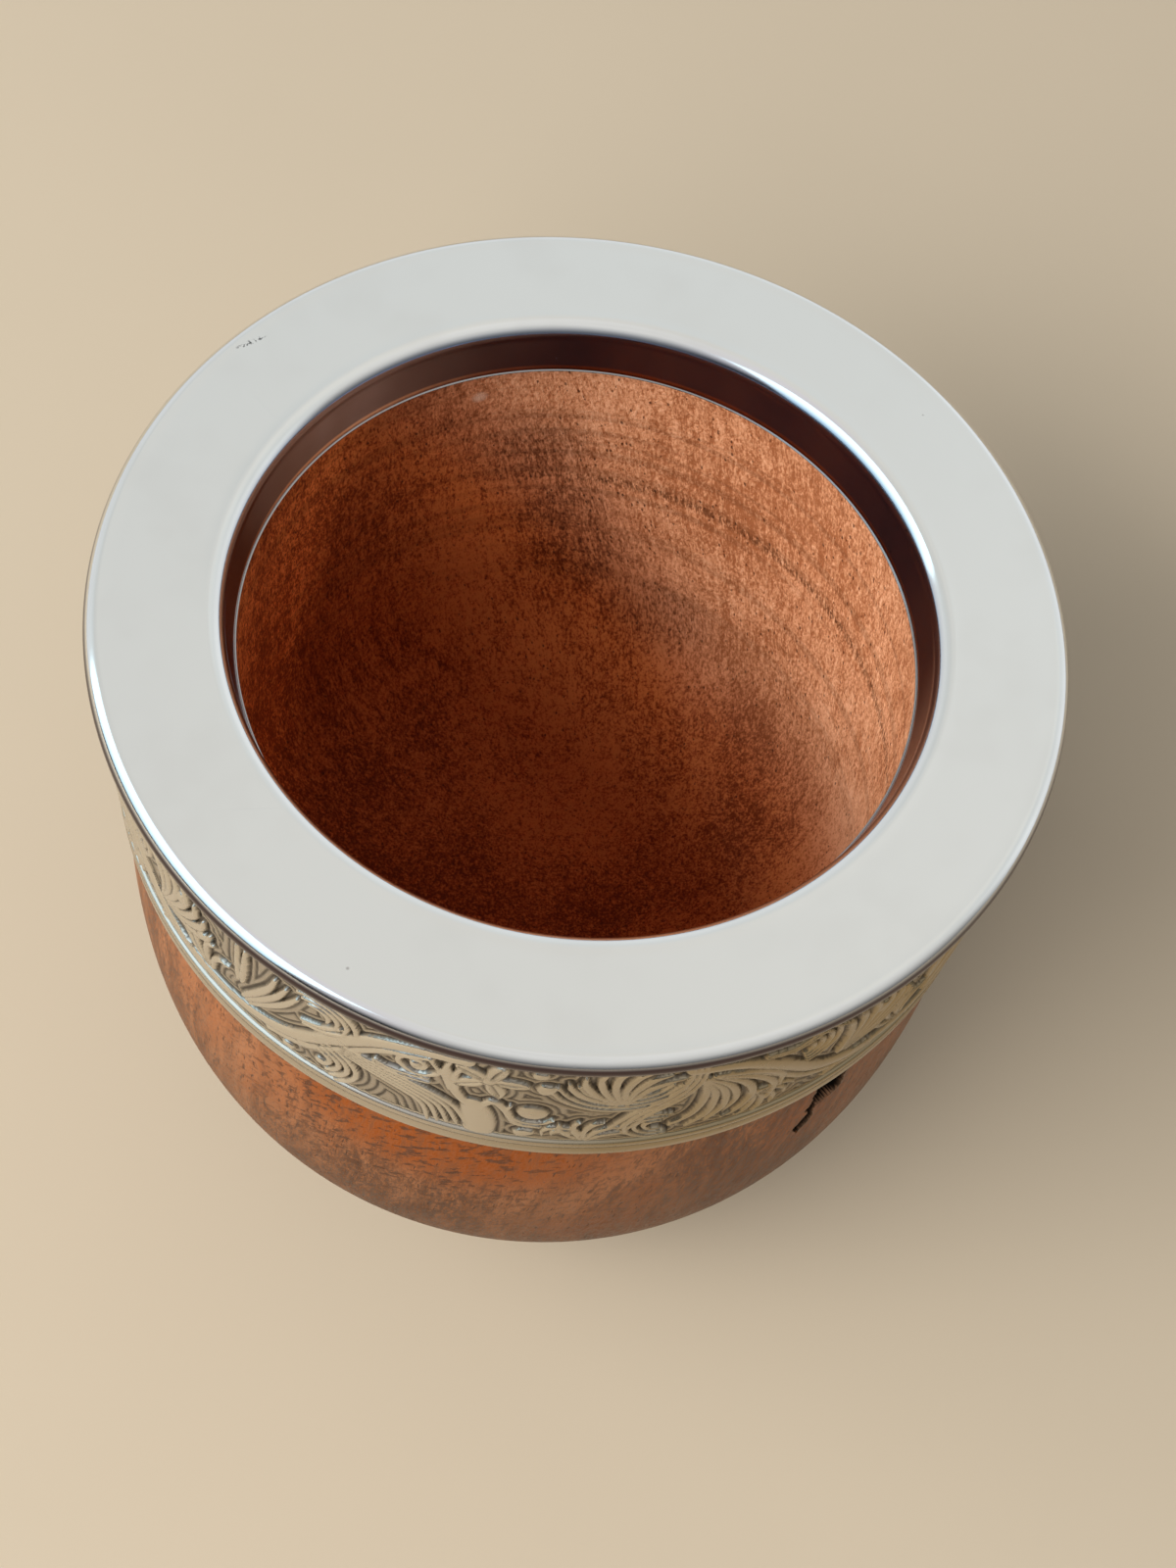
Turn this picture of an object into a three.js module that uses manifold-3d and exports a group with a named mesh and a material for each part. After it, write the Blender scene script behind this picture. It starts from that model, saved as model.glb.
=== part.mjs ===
// Turned wooden mate cup with a polished metal rim and a chased metal band.
// Millimetres, +Z up. The origin is the middle of the flat foot, and -Y is the front.
// Three pieces: the wooden bowl, the polished rim over its lip, and the chased band below the rim.

import * as THREE from 'three';
import { mergeVertices } from 'three/addons/utils/BufferGeometryUtils.js';
import Module from 'manifold-3d';

const wasm = await Module();
wasm.setup();

// Driving dimensions
const height = 80;
const rimRadius = 45;
const mouthRadius = 32.5;
const bandDrop = 23.9;
const sleeveDrop = 5.6;
const floorThickness = 11;
const turns = 60;

// Sheet metal and fits
const sheet = 0.8;
const gap = 0.3;
const beadRadius = 1.45;
const shoulderRadius = 1.75;
const sleeveDraft = 0.75;
const lipRounding = 0.3;

// Outside of the wood: a soft belly that tucks in quickly to a small flat foot
const bellyWaist = 0.956;
const bellySwell = 0.018;
const bellyTuck = 0.202;
const bellyCrowding = 1.35;
const footEase = 0.9;

// Inside of the wood
const cavityRadius = 33.2;
const cavityNeck = 32.0;
const cavityBend = 36;
const cavityPower = 2.3;
const upperWall = 67;
const lowerWall = 46;
const ringMarkDrop = 24.4;
const ringMarkDepth = 0.35;
const ringMarkHalfWidth = 0.8;

// Chased band: a thin sheet with a plain lower border and raised ornament
const bandLow = height - bandDrop;
const bandHigh = height - 2 * beadRadius - gap;
const bandInnerLow = 42.6;
const bandInnerHigh = 43.2;
const groundSheet = 0.65;
const borderHeight = 2.9;
const borderRise = 0.35;
const borderRounding = 0.35;
const grooveWidth = 0.5;
const grooveDepth = 0.15;
const ornamentRadius = 44;
const ornamentRepeats = 4;
const ornamentStart = -33;
const ornamentLow = bandLow + borderHeight + grooveWidth;
const ornamentTop = bandHigh - ornamentLow - 0.2;
const ridgeRoot = 0.25;
const ridgeRise = 0.75;

// Running stem of the ornament: it swings between these heights over each repeat
const stemLow = 1.2;
const stemHigh = 16.2;
const stemWidth = 1.7;
const stemCrest = 0.467;
const stemBias = 0.36;
const stemSteepness = 1.9;

// Open check in the wood under the band, on the right: wide at its top, a neck, and a short second opening
const crackDegrees = 48.1;
const crackTop = 2.5;
const crackLength = 14.6;
const crackDepth = 6;
const crackDrift = 3;
const crackBow = 1.4;
const crackInnerShare = 0.35;
const crackRaggedness = 0.2;
const crackHalfWidths = [1.65, 1.6, 1.65, 1.4, 0.75, 0.4, 0.45, 0.6, 0.4, 0.12];

/** Point on an arc in the profile plane: x is the radius, y is the height. */
function arcPoint(centreX, centreY, radius, degrees) {
  const angle = THREE.MathUtils.degToRad(degrees);
  return new THREE.Vector2(centreX + radius * Math.cos(angle), centreY + radius * Math.sin(angle));
}

/** Points along an arc, both ends included. */
function arc(centreX, centreY, radius, from, to, steps) {
  return Array.from({ length: steps + 1 }, (_, k) =>
    arcPoint(centreX, centreY, radius, from + ((to - from) * k) / steps));
}

/** Volume inside a triangle mesh, negative where its faces point inward. */
function signedVolume(position, index) {
  const a = new THREE.Vector3();
  const b = new THREE.Vector3();
  const c = new THREE.Vector3();
  let volume = 0;
  for (let k = 0; k < index.length; k += 3) {
    a.fromBufferAttribute(position, index[k]);
    b.fromBufferAttribute(position, index[k + 1]);
    c.fromBufferAttribute(position, index[k + 2]);
    volume += a.dot(b.cross(c)) / 6;
  }
  return volume;
}

/** Shared vertices, no empty triangles, and faces that point outward. */
function cleaned(geometry) {
  const bare = new THREE.BufferGeometry();
  bare.setAttribute('position', geometry.getAttribute('position').clone());
  bare.setIndex(geometry.getIndex() ? geometry.getIndex().clone() : null);
  const merged = mergeVertices(bare, 1e-4);
  const source = merged.getIndex().array;
  const index = [];
  for (let k = 0; k < source.length; k += 3) {
    const [a, b, c] = [source[k], source[k + 1], source[k + 2]];
    if (a !== b && b !== c && c !== a) index.push(a, b, c);
  }
  if (signedVolume(merged.getAttribute('position'), index) < 0) index.reverse();
  merged.setIndex(index);
  return merged;
}

/** Solid of revolution about Z from a profile of (radius, height) points. */
function turned(profile) {
  const geometry = new THREE.LatheGeometry(profile, turns);
  geometry.rotateX(Math.PI / 2);
  return cleaned(geometry);
}

/** Manifold solid of a closed geometry. */
function toSolid(geometry) {
  const closed = cleaned(geometry);
  const vertProperties = new Float32Array(closed.getAttribute('position').array);
  const triVerts = new Uint32Array(closed.getIndex().array);
  return new wasm.Manifold(new wasm.Mesh({ numProp: 3, vertProperties, triVerts }));
}

/** Geometry of a manifold solid. */
function toGeometry(solid) {
  const mesh = solid.getMesh();
  const geometry = new THREE.BufferGeometry();
  geometry.setAttribute('position', new THREE.BufferAttribute(mesh.vertProperties, mesh.numProp));
  geometry.setIndex(new THREE.BufferAttribute(mesh.triVerts, 1));
  return geometry;
}

/** Outer radius of the wood at a height. */
function bellyRadius(z) {
  const s = (bandLow - z) / rimRadius;
  return rimRadius * (bellyWaist + bellySwell * s - bellyTuck * s ** 4);
}

/** Radius of the hollow's nearly straight wall at a height over its rounded bottom. */
function hollowRadius(z) {
  const t = (z - cavityBend) / (height - sleeveDrop - cavityBend);
  const offMark = Math.abs(z - (height - ringMarkDrop)) / ringMarkHalfWidth;
  const mark = ringMarkDepth * Math.max(0, 1 - offMark);
  return cavityRadius + (cavityNeck - cavityRadius) * t ** 2 + mark;
}

/** Radius of the band's inner face at a height. */
function bandInner(z) {
  const t = (z - bandLow) / (bandHigh - bandLow);
  return bandInnerLow + (bandInnerHigh - bandInnerLow) * t;
}

/** The wooden bowl before its check is cut: foot, belly, neck under the metal, and hollow. */
function bowlProfile() {
  const ledge = bandLow - gap;
  const woodTop = height - sheet - gap;
  const sleeveLedge = height - sleeveDrop - gap;
  const housing = mouthRadius + sheet + gap;
  const points = [new THREE.Vector2(0, 0), new THREE.Vector2(bellyRadius(0) - footEase, 0)];
  const bellySteps = 10;
  for (let k = 0; k <= bellySteps; k += 1) {
    const z = footEase + (ledge - footEase) * (k / bellySteps) ** bellyCrowding;
    points.push(new THREE.Vector2(bellyRadius(z), z));
  }
  points.push(new THREE.Vector2(bandInner(ledge) - gap, ledge));
  points.push(new THREE.Vector2(bandInner(woodTop) - gap, woodTop));
  points.push(new THREE.Vector2(housing + shoulderRadius, woodTop));
  points.push(new THREE.Vector2(housing, woodTop - shoulderRadius));
  points.push(new THREE.Vector2(housing - sleeveDraft, sleeveLedge));
  points.push(new THREE.Vector2(cavityNeck, sleeveLedge));
  const markZ = height - ringMarkDrop;
  const markRows = [markZ + ringMarkHalfWidth, markZ, markZ - ringMarkHalfWidth];
  for (const z of [upperWall, ...markRows, lowerWall, cavityBend]) {
    points.push(new THREE.Vector2(hollowRadius(z), z));
  }
  const floorSteps = 7;
  for (let k = 1; k <= floorSteps; k += 1) {
    const angle = (Math.PI / 2) * (k / floorSteps);
    const z = cavityBend - (cavityBend - floorThickness) * Math.sin(angle) ** (2 / cavityPower);
    const radius = k === floorSteps ? 0 : cavityRadius * Math.cos(angle) ** (2 / cavityPower);
    points.push(new THREE.Vector2(radius, z));
  }
  return points;
}

/** Sideways place of the check's middle line, from 0 at its top to 1 at its tail. */
function crackMiddle(t) {
  return -crackDrift * Math.max(0, t) ** crackBow;
}

/** Ragged wedge that opens the check, narrower towards the inside. */
function crackCutter() {
  const left = [];
  const right = [];
  crackHalfWidths.forEach((halfWidth, k) => {
    const t = k / (crackHalfWidths.length - 1);
    const ragged = crackRaggedness * Math.sin(k * 2.4) * Math.min(1, halfWidth);
    left.push(new THREE.Vector2(crackMiddle(t) - halfWidth + ragged, -crackLength * t));
    right.push(new THREE.Vector2(crackMiddle(t) + halfWidth + ragged, -crackLength * t));
  });
  const shape = new THREE.Shape([...left, ...right.reverse()]);
  const geometry = new THREE.ExtrudeGeometry(shape, { depth: crackDepth, steps: 1, bevelEnabled: false });
  const position = geometry.getAttribute('position');
  for (let k = 0; k < position.count; k += 1) {
    const inward = 1 - position.getZ(k) / crackDepth;
    const narrow = 1 - (1 - crackInnerShare) * inward;
    const middle = crackMiddle(-position.getY(k) / crackLength);
    position.setX(k, middle + (position.getX(k) - middle) * narrow);
  }
  const clearOfWood = bellyRadius(bandLow) + 1;
  geometry.rotateX(Math.PI / 2);
  geometry.translate(0, -clearOfWood + crackDepth, bandLow + crackTop);
  geometry.rotateZ(THREE.MathUtils.degToRad(crackDegrees));
  return geometry;
}

/** Wooden bowl with its check cut in. */
function bowlGeometry() {
  return toGeometry(toSolid(turned(bowlProfile())).subtract(toSolid(crackCutter())));
}

/** Polished rim in one sheet: rolled outer bead, flat top, rounded shoulder and throat sleeve. */
function rimGeometry() {
  const beadX = rimRadius - beadRadius;
  const beadZ = height - beadRadius;
  const beadBack = bandInnerHigh + 0.1;
  const shoulderX = mouthRadius + shoulderRadius;
  const shoulderZ = height - shoulderRadius;
  const sleeveLow = height - sleeveDrop;
  const lipX = mouthRadius - sleeveDraft;
  const points = [
    ...arc(beadX, beadZ, beadRadius, -90, 90, 8),
    new THREE.Vector2((beadX + shoulderX) / 2, height),
    ...arc(shoulderX, shoulderZ, shoulderRadius, 90, 180, 3),
    new THREE.Vector2(lipX, sleeveLow + lipRounding),
    new THREE.Vector2(lipX + lipRounding, sleeveLow),
    new THREE.Vector2(lipX + sheet, sleeveLow + lipRounding),
    new THREE.Vector2(mouthRadius + sheet, shoulderZ),
    new THREE.Vector2(shoulderX, height - sheet),
    new THREE.Vector2(beadBack, height - sheet),
    new THREE.Vector2(beadBack, height - 2 * beadRadius + 0.05),
  ];
  points.push(points[0].clone());
  return turned(points);
}

/** Radius of the band's ground, the face that the ornament stands on. */
function groundRadius(z) {
  return bandInner(z) + groundSheet;
}

/** The band's plain sheet with its lower border and the groove above it. */
function bandSheet() {
  const borderTop = bandLow + borderHeight;
  const grooveTop = borderTop + grooveWidth;
  const points = [
    new THREE.Vector2(bandInner(bandLow), bandLow),
    new THREE.Vector2(groundRadius(bandLow), bandLow),
    new THREE.Vector2(groundRadius(bandLow) + borderRise, bandLow + borderRounding),
    new THREE.Vector2(groundRadius(borderTop) + borderRise, borderTop - borderRounding),
    new THREE.Vector2(groundRadius(borderTop) - grooveDepth, borderTop),
    new THREE.Vector2(groundRadius(grooveTop), grooveTop),
    new THREE.Vector2(groundRadius(bandHigh), bandHigh),
    new THREE.Vector2(bandInner(bandHigh), bandHigh),
  ];
  points.push(points[0].clone());
  return turned(points);
}

/** Place on the band: x runs round it at the ornament radius, y up it, lift out of its ground. */
function onBand(x, y, lift) {
  const z = ornamentLow + y;
  const angle = x / ornamentRadius;
  const radius = groundRadius(z) + lift;
  return [radius * Math.sin(angle), -radius * Math.cos(angle), z];
}

/** Raised stroke: a ridge along a smooth curve, tapered to both ends. */
function ridge(points, width, steps) {
  const curve = new THREE.CatmullRomCurve3(points.map(([x, y]) => new THREE.Vector3(x, y, 0)));
  const vertices = [];
  for (let k = 0; k <= steps; k += 1) {
    const t = k / steps;
    const at = curve.getPoint(t);
    const along = curve.getTangent(t);
    const swell = 0.12 + 0.88 * Math.sin(Math.PI * Math.min(1, 0.12 + 0.83 * t)) ** 0.7;
    const half = (width / 2) * swell;
    const lift = [-ridgeRoot, ridgeRise * swell, -ridgeRoot];
    for (const side of [-1, 0, 1]) {
      const x = at.x + side * along.y * half;
      const y = at.y - side * along.x * half;
      vertices.push(...onBand(x, Math.min(y, ornamentTop), lift[side + 1]));
    }
  }
  const index = [0, 1, 2];
  for (let k = 0; k < steps; k += 1) {
    for (let side = 0; side < 3; side += 1) {
      const a = 3 * k + side;
      const b = 3 * k + ((side + 1) % 3);
      index.push(a, a + 3, b, b, a + 3, b + 3);
    }
  }
  index.push(3 * steps + 1, 3 * steps, 3 * steps + 2);
  const geometry = new THREE.BufferGeometry();
  geometry.setAttribute('position', new THREE.Float32BufferAttribute(vertices, 3));
  geometry.setIndex(index);
  return geometry;
}

/** Strokes that spread from a root, each bent to one side, as a leaf's lobes or a shell's ribs. */
function fan({ root, length, from, to, count, bend, width }) {
  return Array.from({ length: count }, (_, k) => {
    const share = count > 1 ? k / (count - 1) : 0.5;
    const angle = THREE.MathUtils.degToRad(from + (to - from) * share);
    const reach = length * (1 - 0.22 * Math.abs(share - 0.45));
    const [x, y] = root;
    const side = [-Math.sin(angle) * bend * reach, Math.cos(angle) * bend * reach];
    const place = (part, sway) => [
      x + Math.cos(angle) * reach * part + side[0] * sway,
      y + Math.sin(angle) * reach * part + side[1] * sway,
    ];
    return { points: [place(0.12, 0), place(0.55, 1), place(1, 0)], width, steps: 3 };
  });
}

/** Spiral stroke that winds into a centre. */
function curl({ centre, radius, from, turnsIn, width }) {
  const count = 7;
  const points = Array.from({ length: count }, (_, k) => {
    const t = k / (count - 1);
    const angle = THREE.MathUtils.degToRad(from + 360 * turnsIn * t);
    const reach = radius * (1 - 0.8 * t);
    return [centre[0] + reach * Math.cos(angle), centre[1] + reach * Math.sin(angle)];
  });
  return [{ points, width, steps: 8 }];
}

/** Open flower: petals round a centre. */
function flower({ centre, radius, petals, width }) {
  return Array.from({ length: petals }, (_, k) => {
    const angle = (2 * Math.PI * k) / petals + Math.PI / 2;
    const place = (part) => [
      centre[0] + radius * part * Math.cos(angle),
      centre[1] + radius * part * Math.sin(angle),
    ];
    return { points: [place(0.18), place(0.6), place(1)], width, steps: 2 };
  });
}

/** Height of the running stem, which swings between the border and the rim. */
function stemHeight(x, length) {
  const swing = Math.cos((2 * Math.PI * (x - stemCrest * length)) / length) + stemBias;
  return (stemLow + stemHigh) / 2 + ((stemHigh - stemLow) / 2) * Math.tanh(stemSteepness * swing);
}

/** Strokes of one repeat of the ornament, drawn flat in millimetres from its left end. */
function ornamentUnit(length) {
  const stem = (from, to) => ({
    points: Array.from({ length: 6 }, (_, k) => {
      const x = from + ((to - from) * k) / 5;
      return [x, stemHeight(x, length)];
    }),
    width: stemWidth,
    steps: 7,
  });
  return [
    stem(0, 24),
    stem(43, 68.6),
    ...fan({ root: [4.2, 4.6], length: 7, from: 35, to: 78, count: 2, bend: 0.2, width: 1.5 }),
    ...fan({ root: [10.4, 0.8], length: 5, from: 35, to: 145, count: 3, bend: 0.1, width: 1.4 }),
    ...fan({ root: [12.2, 7.4], length: 11.5, from: -42, to: -8, count: 3, bend: 0.24, width: 1.6 }),
    ...curl({ centre: [11.2, 12.2], radius: 3.3, from: 200, turnsIn: -1.2, width: 1.3 }),
    ...curl({ centre: [19.3, 11.6], radius: 2.5, from: 80, turnsIn: -1.2, width: 1.1 }),
    { points: [[24.4, 0.2], [24.2, 4], [24.6, 7.6]], width: 1.8, steps: 2 },
    ...flower({ centre: [26.2, 12.6], radius: 3.3, petals: 5, width: 1.9 }),
    { points: [[26.4, 7.8], [28.2, 5.4], [31.6, 3.6]], width: 1.6, steps: 3 },
    ...fan({ root: [32.6, 1.2], length: 6.4, from: 30, to: 90, count: 2, bend: 0.25, width: 1.5 }),
    ...fan({ root: [38.2, 7.6], length: 8.8, from: 55, to: 130, count: 3, bend: 0.18, width: 1.6 }),
    { points: [[43.2, 15.6], [43.4, 12.4], [39.8, 7.6], [37.4, 1.6]], width: 1.6, steps: 5 },
    ...fan({ root: [44.4, 14.2], length: 13, from: -92, to: -54, count: 3, bend: 0.16, width: 1.8 }),
    ...curl({ centre: [54.2, 13], radius: 2.9, from: 170, turnsIn: -1.1, width: 1.2 }),
    ...fan({ root: [59.2, 5.6], length: 10, from: 40, to: 90, count: 3, bend: -0.16, width: 1.8 }),
  ];
}

/** Chased band: the sheet with every raised stroke joined on. */
function bandGeometry() {
  const unitLength = (2 * Math.PI * ornamentRadius) / ornamentRepeats;
  const start = THREE.MathUtils.degToRad(ornamentStart) * ornamentRadius;
  let band = toSolid(bandSheet());
  for (let repeat = 0; repeat < ornamentRepeats; repeat += 1) {
    for (const stroke of ornamentUnit(unitLength)) {
      const placed = stroke.points.map(([x, y]) => [start + repeat * unitLength + x, y]);
      band = band.add(toSolid(ridge(placed, stroke.width, stroke.steps)));
    }
  }
  return toGeometry(band);
}

/** Named mesh with its own finish. */
function piece(name, geometry, colour, roughness, metalness) {
  const mesh = new THREE.Mesh(geometry, new THREE.MeshStandardMaterial({ color: colour, roughness, metalness }));
  mesh.name = name;
  return mesh;
}

const cup = new THREE.Group();
cup.name = 'mate_cup';
cup.add(piece('wood_bowl', bowlGeometry(), 0x8a5a3a, 0.5, 0));
cup.add(piece('metal_rim', rimGeometry(), 0xd8d8d4, 0.12, 1));
cup.add(piece('chased_band', bandGeometry(), 0xb49c78, 0.3, 1));

export default cup;
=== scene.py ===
"""Turned wooden mate cup with a polished metal rim and a chased metal band.

Each sub-assembly is a class that holds its sizes in millimetres and builds and dresses its own mesh. The
main sizes come from the frame; the rest are named values of the class that uses them. Angles round the cup
start at the front, on -Y, and run towards +X.
"""

import logging
import math
import random
from collections.abc import Callable, Iterable
from dataclasses import dataclass, field
from enum import Enum
from functools import reduce

import bpy
import numpy as np
from mathutils import Matrix, Vector


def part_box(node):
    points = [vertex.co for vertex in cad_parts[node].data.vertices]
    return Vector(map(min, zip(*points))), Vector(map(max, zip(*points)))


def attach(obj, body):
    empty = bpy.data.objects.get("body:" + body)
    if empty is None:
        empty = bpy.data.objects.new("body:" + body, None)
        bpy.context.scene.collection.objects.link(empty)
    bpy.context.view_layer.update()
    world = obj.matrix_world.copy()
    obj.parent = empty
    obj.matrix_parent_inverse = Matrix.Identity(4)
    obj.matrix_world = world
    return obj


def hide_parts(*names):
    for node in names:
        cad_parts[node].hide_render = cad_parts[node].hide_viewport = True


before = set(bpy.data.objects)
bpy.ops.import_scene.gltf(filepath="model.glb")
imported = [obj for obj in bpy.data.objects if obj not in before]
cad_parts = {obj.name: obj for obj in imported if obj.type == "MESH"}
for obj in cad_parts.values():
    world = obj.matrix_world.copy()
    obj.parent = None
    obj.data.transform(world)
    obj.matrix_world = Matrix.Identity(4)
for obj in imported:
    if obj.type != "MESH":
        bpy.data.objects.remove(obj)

MM = 0.001
BODY = "root"
FAR = 9.0
LOG = logging.getLogger("mate_cup")

Pair = tuple[float, float]
Triple = tuple[float, float, float]
Node = bpy.types.Node
Socket = bpy.types.NodeSocket


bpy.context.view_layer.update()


class Slot(Enum):
    """The record's material slots."""

    WOOD = "wood"
    POLISHED = "polished_metal"
    CHASED = "chased_metal"


@dataclass(frozen=True)
class CupSizes:
    """Main sizes of the cup in millimetres, read from the frame."""

    height: float
    rim_radius: float
    band_low: float
    band_high: float
    sleeve_low: float
    gap: float = 0.3
    sheet: float = 0.8
    bead_radius: float = 1.45
    mouth_radius: float = 32.5
    shoulder_radius: float = 1.75
    sleeve_draft: float = 0.75
    band_inner_low: float = 42.6
    band_inner_high: float = 43.2

    @classmethod
    def from_frame(cls) -> "CupSizes":
        """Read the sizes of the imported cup.

        Returns:
            The sizes in millimetres.
        """
        rim_low, rim_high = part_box("metal_rim")
        band_low, band_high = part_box("chased_band")
        return cls(
            height=rim_high.z / MM,
            rim_radius=rim_high.x / MM,
            band_low=band_low.z / MM,
            band_high=band_high.z / MM,
            sleeve_low=rim_low.z / MM,
        )

    def band_inner(self, z: float | np.ndarray) -> float | np.ndarray:
        """Radius of the band's inner face.

        Args:
            z: Height in millimetres.

        Returns:
            The radius in millimetres.
        """
        share = (z - self.band_low) / (self.band_high - self.band_low)
        return self.band_inner_low + (self.band_inner_high - self.band_inner_low) * share


def arc(centre: Pair, radius: float, start: float, end: float, steps: int) -> np.ndarray:
    """Points of an arc in the profile plane.

    Args:
        centre: Radius and height of its middle.
        radius: Radius of the arc.
        start: First angle in degrees.
        end: Last angle in degrees.
        steps: Number of chords.

    Returns:
        An array of (radius, height) rows.
    """
    angles = np.radians(np.linspace(start, end, steps + 1))
    return np.stack([centre[0] + radius * np.cos(angles), centre[1] + radius * np.sin(angles)], axis=1)


def line(start: Pair, end: Pair, steps: int) -> np.ndarray:
    """Points of a straight stretch in the profile plane, its start left out.

    Args:
        start: Radius and height where it starts.
        end: Radius and height where it ends.
        steps: Number of points.

    Returns:
        An array of (radius, height) rows.
    """
    share = np.linspace(0, 1, steps + 1)[1:, None]
    return np.array(start) + (np.array(end) - np.array(start)) * share


def smooth_step(low: float, high: float, value: np.ndarray) -> np.ndarray:
    """Smooth ramp from 0 at low to 1 at high."""
    share = np.clip((value - low) / (high - low), 0, 1)
    return share * share * (3 - 2 * share)


def wavy(value: np.ndarray, seed: int, waves: Iterable[float]) -> np.ndarray:
    """Repeatable uneven line, a sum of sines with seeded phases.

    Args:
        value: Where it is read.
        seed: Seed of the phases.
        waves: Wave numbers, each given a weight that falls with its size.

    Returns:
        Values of about -1 to 1.
    """
    draw = random.Random(seed)
    total = np.zeros_like(value, dtype=float)
    weight = 0.0
    for wave in waves:
        share = 1.0 / math.sqrt(wave)
        total += share * np.sin(wave * value + draw.uniform(0, 2 * math.pi))
        weight += share
    return total / weight


@dataclass
class RingMesh:
    """Mesh of rows of points that close round the axis."""

    name: str
    points: np.ndarray
    loops: bool = False
    first_pole: float | None = None
    last_pole: float | None = None
    sharp_degrees: float = 50.0
    marks: dict[str, np.ndarray] = field(default_factory=dict)

    def build(self) -> bpy.types.Object:
        """Make the object.

        Returns:
            A smooth-shaded mesh object in metres, at the origin.
        """
        rows, columns, _ = self.points.shape
        vertices = [self.points.reshape(-1, 3)]
        first = np.arange(rows if self.loops else rows - 1)
        after = (first + 1) % rows
        column = np.arange(columns)
        beside = (column + 1) % columns
        corners = (
            first[:, None] * columns + column,
            first[:, None] * columns + beside,
            after[:, None] * columns + beside,
            after[:, None] * columns + column,
        )
        faces = np.stack(corners, axis=-1).reshape(-1, 4).tolist()
        count = rows * columns
        for pole, row, turn in ((self.first_pole, 0, 1), (self.last_pole, rows - 1, -1)):
            if pole is None:
                continue
            vertices.append(np.array([[0.0, 0.0, pole]]))
            ring = row * columns
            for k in range(columns):
                near, far = ring + k, ring + (k + 1) % columns
                faces.append([count, far, near] if turn == 1 else [count, near, far])
            count += 1
        mesh = bpy.data.meshes.new(self.name)
        mesh.from_pydata((np.concatenate(vertices) * MM).tolist(), [], faces)
        mesh.update()
        mesh.shade_smooth()
        mesh.set_sharp_from_angle(angle=math.radians(self.sharp_degrees))
        for mark, values in self.marks.items():
            layer = mesh.attributes.new(mark, "FLOAT", "POINT")
            data = np.zeros(count, np.float32)
            data[: rows * columns] = values.reshape(-1)
            layer.data.foreach_set("value", data)
        made = bpy.data.objects.new(self.name, mesh)
        bpy.context.scene.collection.objects.link(made)
        return made


def turned(profile: np.ndarray, angles: np.ndarray) -> np.ndarray:
    """Points of a profile turned about the axis.

    Args:
        profile: (radius, height) rows, in millimetres.
        angles: Angles round the cup in radians.

    Returns:
        An array of rows by angles by 3.
    """
    radius, height = profile[:, 0][:, None], profile[:, 1][:, None]
    return around(radius + 0 * angles, height + 0 * angles, angles[None, :])


def around(radius: np.ndarray, height: np.ndarray, angle: np.ndarray) -> np.ndarray:
    """Cylinder coordinates as points, the angle measured from the front."""
    return np.stack([radius * np.sin(angle), -radius * np.cos(angle), height], axis=-1)


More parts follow.
